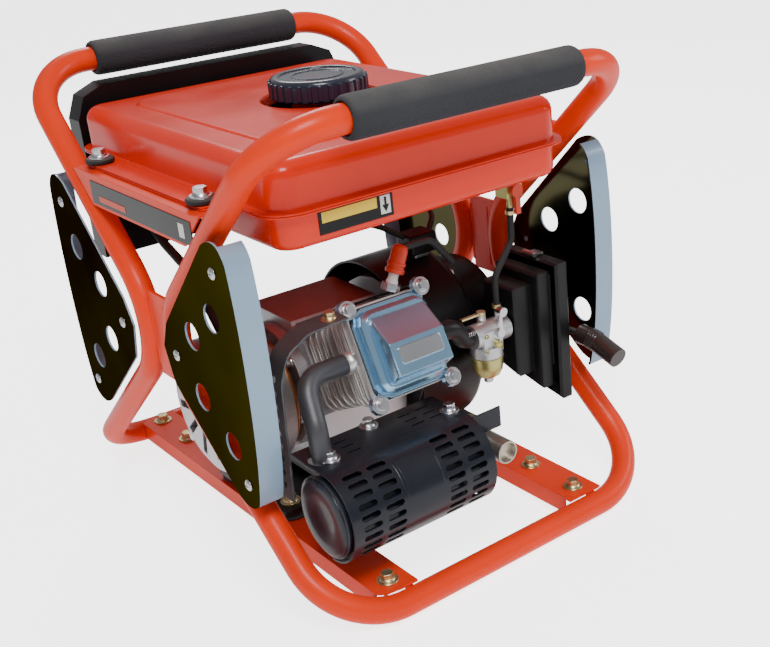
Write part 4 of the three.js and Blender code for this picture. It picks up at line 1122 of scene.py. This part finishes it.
class BuildFilter(Operator):
    """Mould the stepped air filter box, with its cover and clip"""
    bl_idname = "generator.build_filter"
    bl_label = "Air Filter"

    def execute(self, context):
        redrawn("filter_base", "black_plastic")
        keep("foam", "filter_element")
        low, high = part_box("filter_cover")
        cover = [(drawn("filter_cover"), "black_plastic")]
        for z in (150, 175, 200, 225):
            inner_end = (high.x / MM - 2, low.y / MM + 12, z - 2)
            outer_end = (high.x / MM - 0.1, high.y / MM - 12, z + 2)
            cover.append((soften(slab(inner_end, outer_end), 0.8), "black_plastic"))
        piece("filter_cover_moulding", cover, stands_for=("filter_cover",))
        redrawn("filter_clip", "steel", "clip")
        return {"FINISHED"}


class BuildExhaust(Operator):
    """Bend the exhaust pipe and its drilled guard strip"""
    bl_idname = "generator.build_exhaust"
    bl_label = "Exhaust Pipe and Guard"

    def execute(self, context):
        line = route(
            (-96.5, -152.3, 210.7, 0), (-142, -158, 214, 24), (-151, -186, 176, 24),
            (-150, -188, 139.5, 0), steps=14,
        )
        piece("exhaust_bend", [(pipe(line, 10, fineness=8), "exhaust_steel")],
              stands_for=("exhaust_pipe",))
        outer = route(
            (-98, 0, 264, 0), (-140, 0, 262, 24), (-164, 0, 248, 22), (-173, 0, 225, 30),
            (-177, 0, 108, 0), steps=10,
        )
        flat = [(at.x, at.z) for at in outer]
        inner = []
        for k, at in enumerate(outer):
            before, after = outer[max(k - 1, 0)], outer[min(k + 1, len(outer) - 1)]
            run = (after - before).normalized()
            inner.append((at.x - run.z * -1.8, at.z - run.x * 1.8))
        upright = Matrix.Translation((0, -150 * MM, 0)) @ Matrix.Rotation(math.pi / 2, 4, "X")
        strip = cut_sheet(flat + list(reversed(inner)), 26, upright)
        holes = []
        for k in range(9):
            holes.append(rod(3.6, 30, stand((-190, -163, 122 + k * 13), X_AXIS), 24))
        strip = carve(strip, *holes)
        clamp = hex_bolt((-110, -163, 263.6), Z_AXIS, 9)
        piece("exhaust_guard_strip", [(strip, "exhaust_steel"), (clamp, "yellow_zinc")],
              stands_for=("exhaust_guard",))
        return {"FINISHED"}


class BuildMuffler(Operator):
    """Roll the muffler drum, its slotted shield and the outlet"""
    bl_idname = "generator.build_muffler"
    bl_label = "Muffler"

    def execute(self, context):
        x0, x1, y, z = MUFFLER
        r = size("muffler_radius")
        axis = stand((0, y, z), X_AXIS)
        drum = turned([
            (0, x0 + 3), (14, x0 + 2.5), (22, x0), (r - 9, x0), (r - 5, x0 + 2), (r - 4, x0 + 6),
            (r - 4, x1 - 6), (r - 5, x1 - 2), (r - 9, x1), (22, x1), (14, x1 - 2.5), (0, x1 - 3),
        ], axis, 96)
        bead = [(drum, "muffler_black")]
        for at in (x0 + 5, x1 - 5):
            bead.append((turned([
                (r - 4.4, at - 2), (r - 2.2, at - 1.2), (r - 2.2, at + 1.2), (r - 4.4, at + 2),
                (r - 4.4, at - 2),
            ], axis, 96), "muffler_black"))
        pipe_out = rod(9, 24, stand((x1 - 2, y - 4, z), X_AXIS), 40)
        outlet = turned([
            (0, -6), (12, -6), (12, 26.5), (11.5, 28), (10, 28), (10, 15), (0, 14),
        ], stand((x1 + 26, y, z), FRONT), 56)
        gauze = turned([(0, 21), (9.8, 21), (9.8, 22), (0, 22)], stand((x1 + 26, y, z), FRONT), 40)
        bead += [(pipe_out, "muffler_black"), (outlet, "outlet_steel"), (gauze, "outlet_steel")]
        flange = soften(slab((x1 + 8, y + 2, z + 12), (x1 + 44, y + 4, z + 34)), 0.6)
        bead.append((flange, "muffler_black"))
        piece("muffler_drum", bead, stands_for=("muffler_body",))
        self.shield(x0 + 6, x1 - 2, y, z, r)
        return {"FINISHED"}

    def shield(self, x0, x1, y, z, r):
        """The rolled shield: rows of slots either side of a plain raised panel."""
        axis = Matrix.Translation((0, y * MM, z * MM)) @ Matrix((
            (0, 0, 1, 0), (0, -1, 0, 0), (1, 0, 0, 0), (0, 0, 0, 1),
        ))
        wrap = turned([(r + 1, x0), (r + 3, x0), (r + 3, x1), (r + 1, x1), (r + 1, x0)],
                      axis, 96, math.pi, 0.0)
        top = slab((x0, y - 0.5, z + r + 1), (x1, y + 52, z + r + 3))
        middle = (x0 + x1) / 2
        upright = Matrix.Rotation(math.pi / 2, 4, "X")
        slots = []
        for dx in (-61, -35, 35, 61):
            for angle in range(-38, 70, 13):
                turn = Matrix.Translation(Vector((middle + dx, y, z)) * MM)
                turn = turn @ Matrix.Rotation(math.radians(-angle), 4, "X")
                outline = rounded_outline(-10, 10, -2.8, 2.8, 2.7, 5)
                facing = turn @ Matrix.Translation((0, (6 - r) * MM, 0)) @ upright
                slots.append(cut_sheet(outline, 16, facing))
        wrap = carve(wrap, *slots)
        long_slots = []
        for dx in (-58, -36, 36, 58):
            for dy in (14, 26, 38):
                long_slots.append(slab((middle + dx - 7, y + dy - 1.2, z + r - 3),
                                       (middle + dx + 7, y + dy + 1.2, z + r + 7)))
        pipe_hole = rod(14, 16, stand((-150, -188, z + r - 6)), 48)
        top = carve(carve(top, *long_slots), pipe_hole)
        panel = turned([
            (r + 2, middle - 22), (r + 5, middle - 19), (r + 5, middle + 19), (r + 2, middle + 22),
            (r + 2, middle - 22),
        ], axis, 24, math.radians(46), math.radians(28))
        parts = [(wrap, "muffler_black"), (top, "muffler_black"), (panel, "muffler_black")]
        for at in ((x0 + 20, y + 16), (x1 - 8, y + 13), (middle, y + 44)):
            parts.append((hex_bolt((*at, z + r + 3), Z_AXIS, 10), "steel"))
        piece("muffler_guard", parts, stands_for=("muffler_shield",))


class BuildAlternator(Operator):
    """Wind the stator and close it with the end bell"""
    bl_idname = "generator.build_alternator"
    bl_label = "Alternator"

    def execute(self, context):
        shaft = stand((0, CRANK[1], CRANK[2]), X_AXIS)
        core = turned([
            (48, -150), (70, -150), (70, -118), (48, -118), (48, -150),
        ], shaft, 96)
        pack = [(core, "laminations")]
        for a, b in ((-160, -150.2), (-117.8, -108)):
            winding = turned([
                (46, a), (58, a), (63, a + 3), (64, (a + b) / 2), (63, b - 3), (58, b), (46, b),
                (46, a),
            ], shaft, 72)
            pack.append((winding, "copper"))
        piece("stator_pack", pack, stands_for=("stator",))
        keep("copper", "rotor")
        bell = turned([
            (0, -184), (50, -184), (57, -183), (66, -178), (71, -172), (71, -160.3), (60, -160.3),
            (58, -172), (12.6, -172), (12.6, -181), (0, -181),
        ], shaft, 96)

        def slot(angle):
            return slab((26, -4, -192), (50, 4, -166), shaft @ Matrix.Rotation(angle, 4, "Z"))

        for vent in all_way_round(10, slot, 0.2):
            bell = carve(bell, vent)

        def through_bolt(angle):
            at = (-176, CRANK[1] + 63.5 * math.cos(angle), CRANK[2] + 63.5 * math.sin(angle))
            return hex_bolt(at, (-1, 0, 0), 8, washer=False)

        bolts = [(part, "steel") for part in all_way_round(4, through_bolt, math.pi / 4)]
        piece("alternator_bell", [(bell, "cast_aluminium")] + bolts,
              stands_for=("alternator_end_bell",))
        return {"FINISHED"}


class BuildPanel(Operator):
    """Fit the control box, fascia, meter, sockets, breaker and switch"""
    bl_idname = "generator.build_panel"
    bl_label = "Control Panel"

    def execute(self, context):
        redrawn("control_box", "black_sheet")
        redrawn("fascia", "black_plastic")
        screws = []
        for x in (-145, 0, 145):
            for z in (266, 421):
                if abs(x) > 100 or z > 300:
                    screws.append((round_screw((x * 0.97, FACE_Y, z), Y_AXIS, 3.6), "steel"))
        piece("fascia_screws", screws)
        self.meter()
        self.sockets()
        redrawn("breaker_button", "signal_red", "breaker")
        redrawn("engine_switch_rocker", "signal_red", "switch")
        return {"FINISHED"}

    def meter(self):
        """Round volt meter: pale dial with plain ticks and a needle inside its black rim."""
        low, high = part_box("volt_meter")
        x, z = (low.x + high.x) / 2 / MM, (low.z + high.z) / 2 / MM
        front = high.y / MM
        where = stand((x, 0, z), Y_AXIS)
        case = turned([
            (0, front - 24), (21, front - 24), (21, front - 3.2), (25, front - 3.2),
            (25, front - 0.8), (24.2, front), (20.6, front), (20, front - 1.4), (0, front - 1.4),
        ], where, 72)
        dial = turned([
            (0, front - 1.5), (19.6, front - 1.5), (19.6, front - 1.1), (0, front - 1.1),
        ], where, 56)
        parts = [(case, "black_plastic"), (dial, "label_white")]
        for k in range(11):
            angle = math.radians(-60 + 12 * k)
            turn = where @ Matrix.Rotation(angle, 4, "Z")
            inner = 14.5 if k % 5 else 12.5
            tick = slab((-0.35, inner, front - 1.2), (0.35, 18, front - 0.9), turn)
            parts.append((tick, "label_black"))
        needle = where @ Matrix.Rotation(math.radians(-60), 4, "Z")
        parts.append((slab((-0.4, -3, front - 1.0), (0.4, 16, front - 0.5), needle), "signal_red"))
        hub = rod(2.4, 1.4, where @ Matrix.Translation((0, 0, (front - 1.4) * MM)), 24)
        parts.append((hub, "label_black"))
        piece("volt_meter_dial", parts, stands_for=("volt_meter",))

    def sockets(self):
        """The twin socket moulding with earth, line and neutral entries, and its lids."""
        parts = [(drawn("duplex_socket"), "grey_plastic")]
        for label in ("left", "right"):
            low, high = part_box(f"socket_lid_{label}")
            x = (low.x + high.x) / 2 / MM
            z = low.z / MM + 25
            floor = FACE_Y - 10.4
            for dx, dz, w, h in ((-6, 3, 2, 7), (6, 3, 2, 7), (0, -7, 4, 4)):
                parts.append((slab((x + dx - w / 2, floor, z + dz - h / 2),
                                   (x + dx + w / 2, floor + 0.4, z + dz + h / 2)), "label_black"))
            where = stand((x, 0, z), Y_AXIS)
            inner, outer = low.y / MM, high.y / MM
            lid = turned([
                (0, inner), (LID_R - 0.6, inner), (LID_R, inner + 0.6), (LID_R, outer - 1.6),
                (LID_R - 1.6, outer), (19, outer), (18, outer - 0.8), (0, outer - 0.8),
            ], where, 72)
            tab = soften(slab((x - 9, inner, z + 18), (x + 9, outer, z + 30)), 0.8)
            pull = soften(slab((x - 7, inner + 0.5, z - 27.5), (x + 7, outer - 0.5, z - 22)), 0.8)
            pin = rod(1.6, 22, stand((x - 11, outer - 2.3, z + 30), X_AXIS), 20)
            piece(f"lid_{label}_moulding", [
                (lid, "grey_plastic"), (tab, "grey_plastic"), (pull, "grey_plastic"),
                (pin, "steel"),
            ], body=f"lid_{label}", stands_for=(f"socket_lid_{label}",))
        piece("socket_moulding", parts, stands_for=("duplex_socket",))


class BuildFasteners(Operator):
    """Bolt the channels, and fix the plain labels on the end plates"""
    bl_idname = "generator.build_fasteners"
    bl_label = "Fasteners and Labels"

    def execute(self, context):
        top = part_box("base_channel_left")[1].z / MM
        heads = []
        for x in CHANNEL_X:
            for y in CHANNEL_BOLT_Y:
                heads.append((hex_bolt((x, y, top), Z_AXIS, size("bolt_size")), "yellow_zinc"))
        piece("channel_bolts", heads)
        for end, label in ((-1, "left"), (1, "right")):
            low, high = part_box(f"end_plate_{label}")
            face = (low.x if end < 0 else high.x) / MM
            plate = soften(slab((face - 0.6, -118, 348), (face + 0.6, 96, 371)), 0.3)
            bar = slab((face - 0.9, 18, 352), (face + 0.9, 78, 358))
            block = slab((face - 0.9, -104, 353), (face + 0.9, -94, 366))
            parts = [(plate, "label_black"), (bar, "signal_red"), (block, "label_white")]
            piece(f"end_label_{label}", parts)
        return {"FINISHED"}


class BuildStage(Operator):
    """Lay the pale floor, hang the soft lights and set the camera"""
    bl_idname = "generator.build_stage"
    bl_label = "Studio Stage"

    def execute(self, context):
        scene = context.scene
        floor_mesh = bpy.data.meshes.new("floor")
        bm = bmesh.new()
        bmesh.ops.create_grid(bm, x_segments=1, y_segments=1, size=FLOOR_HALF)
        bm.to_mesh(floor_mesh)
        bm.free()
        floor = bpy.data.objects.new("floor", floor_mesh)
        scene.collection.objects.link(floor)
        pale = bpy.data.materials.new("pale_floor")
        pale.use_nodes = True
        shader = pale.node_tree.nodes["Principled BSDF"]
        shader.inputs["Base Color"].default_value = (0.90, 0.90, 0.89, 1)
        shader.inputs["Roughness"].default_value = 0.6
        shader.inputs["Specular IOR Level"].default_value = 0.2
        shader.inputs["Emission Color"].default_value = (1, 1, 1, 1)
        seen = pale.node_tree.nodes.new("ShaderNodeLightPath")
        glow = pale.node_tree.nodes.new("ShaderNodeMapRange")
        glow.inputs["To Min"].default_value = FLOOR_GLOW[0]
        glow.inputs["To Max"].default_value = FLOOR_GLOW[1]
        pale.node_tree.links.new(seen.outputs["Is Camera Ray"], glow.inputs["Value"])
        pale.node_tree.links.new(glow.outputs["Result"], shader.inputs["Emission Strength"])
        floor_mesh.materials.append(pale)
        world = bpy.data.worlds.new("studio")
        world.use_nodes = True
        sky = world.node_tree.nodes["Background"]
        sky.inputs["Color"].default_value = (0.95, 0.97, 1.0, 1)
        sky.inputs["Strength"].default_value = SKY_STRENGTH
        backdrop = world.node_tree.nodes.new("ShaderNodeBackground")
        backdrop.inputs["Strength"].default_value = BACKDROP_STRENGTH
        seen = world.node_tree.nodes.new("ShaderNodeLightPath")
        choose = world.node_tree.nodes.new("ShaderNodeMixShader")
        links = world.node_tree.links
        links.new(seen.outputs["Is Camera Ray"], choose.inputs["Fac"])
        links.new(sky.outputs["Background"], choose.inputs[1])
        links.new(backdrop.outputs["Background"], choose.inputs[2])
        links.new(choose.outputs["Shader"], world.node_tree.nodes["World Output"].inputs["Surface"])
        scene.world = world
        for values in LAMPS:
            self.lamp(*values)
        self.camera(scene)
        return {"FINISHED"}

    def lamp(self, name, at, towards, size, power):
        """A square soft light aimed at a point."""
        light = bpy.data.lights.new(name, "AREA")
        light.size = size
        light.energy = power
        holder = bpy.data.objects.new(name, light)
        aim = Vector(towards) - Vector(at)
        turn = aim.to_track_quat("-Z", "Y").to_matrix().to_4x4()
        holder.matrix_world = Matrix.Translation(at) @ turn
        bpy.context.scene.collection.objects.link(holder)

    def camera(self, scene):
        """The camera at the machine's front left, a little above, held slightly out of level."""
        azimuth, height, roll = (math.radians(angle) for angle in CAMERA_TURN)
        back = Vector((
            math.sin(azimuth) * math.cos(height), -math.cos(azimuth) * math.cos(height),
            math.sin(height),
        ))
        side = Vector(Z_AXIS).cross(back).normalized()
        up = back.cross(side)
        right = math.cos(roll) * side + math.sin(roll) * up
        above = math.cos(roll) * up - math.sin(roll) * side
        lens = bpy.data.cameras.new("camera")
        lens.lens = CAMERA_LENS
        lens.sensor_width = 36
        lens.shift_x, lens.shift_y = CAMERA_SHIFT
        camera = bpy.data.objects.new("camera", lens)
        turn = Matrix((right, above, back)).transposed().to_4x4()
        camera.matrix_world = Matrix.Translation(CAMERA_AT) @ turn
        scene.collection.objects.link(camera)
        scene.camera = camera


class GeneratorSizes(PropertyGroup):
    tube_radius: FloatProperty(
        name="Tube Radius", description="Outer radius of the frame's round tube",
        unit="LENGTH", min=0.008, max=0.02, default=0.0125)
    grip_length: FloatProperty(
        name="Grip Length", description="Length of each foam grip along its top bar",
        unit="LENGTH", min=0.1, max=0.3, default=0.246)
    grip_radius: FloatProperty(
        name="Grip Radius", description="Outer radius of the foam grips",
        unit="LENGTH", min=0.016, max=0.025, default=0.0185)
    cap_radius: FloatProperty(
        name="Cap Radius", description="Outer radius of the fuel cap, which its recess follows",
        unit="LENGTH", min=0.04, max=0.06, default=0.05)
    muffler_radius: FloatProperty(
        name="Muffler Radius", description="Radius of the muffler shield's inner side",
        unit="LENGTH", min=0.035, max=0.05, default=0.042)
    bolt_size: FloatProperty(
        name="Bolt Size", description="Width across flats of the frame, tank and mount bolts",
        unit="LENGTH", min=0.008, max=0.014, default=0.011)


class GeneratorColours(PropertyGroup):
    frame_paint: FloatVectorProperty(
        name="Frame Paint", description="Colour of the tube frame, channels and end plates",
        subtype="COLOR", size=3, min=0, max=1, default=(0.84, 0.036, 0.0))
    tank_paint: FloatVectorProperty(
        name="Tank Paint", description="Colour of the fuel tank",
        subtype="COLOR", size=3, min=0, max=1, default=(0.80, 0.022, 0.0))
    # The default olive is a painted reflection of grass and ground, not the faces' own colour.
    guard_face: FloatVectorProperty(
        name="Guard Face", description="Tint of the side guards' polished faces",
        subtype="COLOR", size=3, min=0, max=1, default=(0.070, 0.064, 0.034))
    # The default blue is a painted reflection of the sky on a grey rim.
    guard_rim: FloatVectorProperty(
        name="Guard Rim", description="Colour of the side guards' turned-in rims",
        subtype="COLOR", size=3, min=0, max=1, default=(0.25, 0.37, 0.50))
    valve_cover: FloatVectorProperty(
        name="Valve Cover", description="Tint of the lacquered valve cover",
        subtype="COLOR", size=3, min=0, max=1, default=(0.34, 0.58, 0.80))


BUILDERS = (
    BuildStage, BuildFrame, BuildGrips, BuildGuards, BuildTank, BuildCap, BuildFuelLine,
    BuildEngine, BuildSpark, BuildWiring, BuildBlower, BuildIntake, BuildFilter, BuildExhaust,
    BuildMuffler, BuildAlternator, BuildPanel, BuildFasteners,
)


class GeneratorPanel(Panel):
    """The generator's colours and the buttons that build its pieces"""
    bl_idname = "VIEW3D_PT_generator"
    bl_label = "Open-Frame Generator"
    bl_space_type = "VIEW_3D"
    bl_region_type = "UI"
    bl_category = "Generator"

    def draw(self, context):
        sizes = context.scene.generator_sizes
        for name in GeneratorSizes.__annotations__:
            self.layout.prop(sizes, name)
        colours = context.scene.generator_colours
        for name in GeneratorColours.__annotations__:
            self.layout.prop(colours, name)
        for builder in BUILDERS:
            self.layout.operator(builder.bl_idname)


CLASSES = (GeneratorSizes, GeneratorColours, *BUILDERS, GeneratorPanel)


def register():
    for kind in CLASSES:
        bpy.utils.register_class(kind)
    bpy.types.Scene.generator_sizes = PointerProperty(type=GeneratorSizes)
    bpy.types.Scene.generator_colours = PointerProperty(type=GeneratorColours)


def unregister():
    del bpy.types.Scene.generator_sizes
    del bpy.types.Scene.generator_colours
    for kind in reversed(CLASSES):
        bpy.utils.unregister_class(kind)


def main():
    register()
    for builder in BUILDERS:
        group, name = builder.bl_idname.split(".")
        getattr(getattr(bpy.ops, group), name)()


if __name__ == "__main__":
    main()
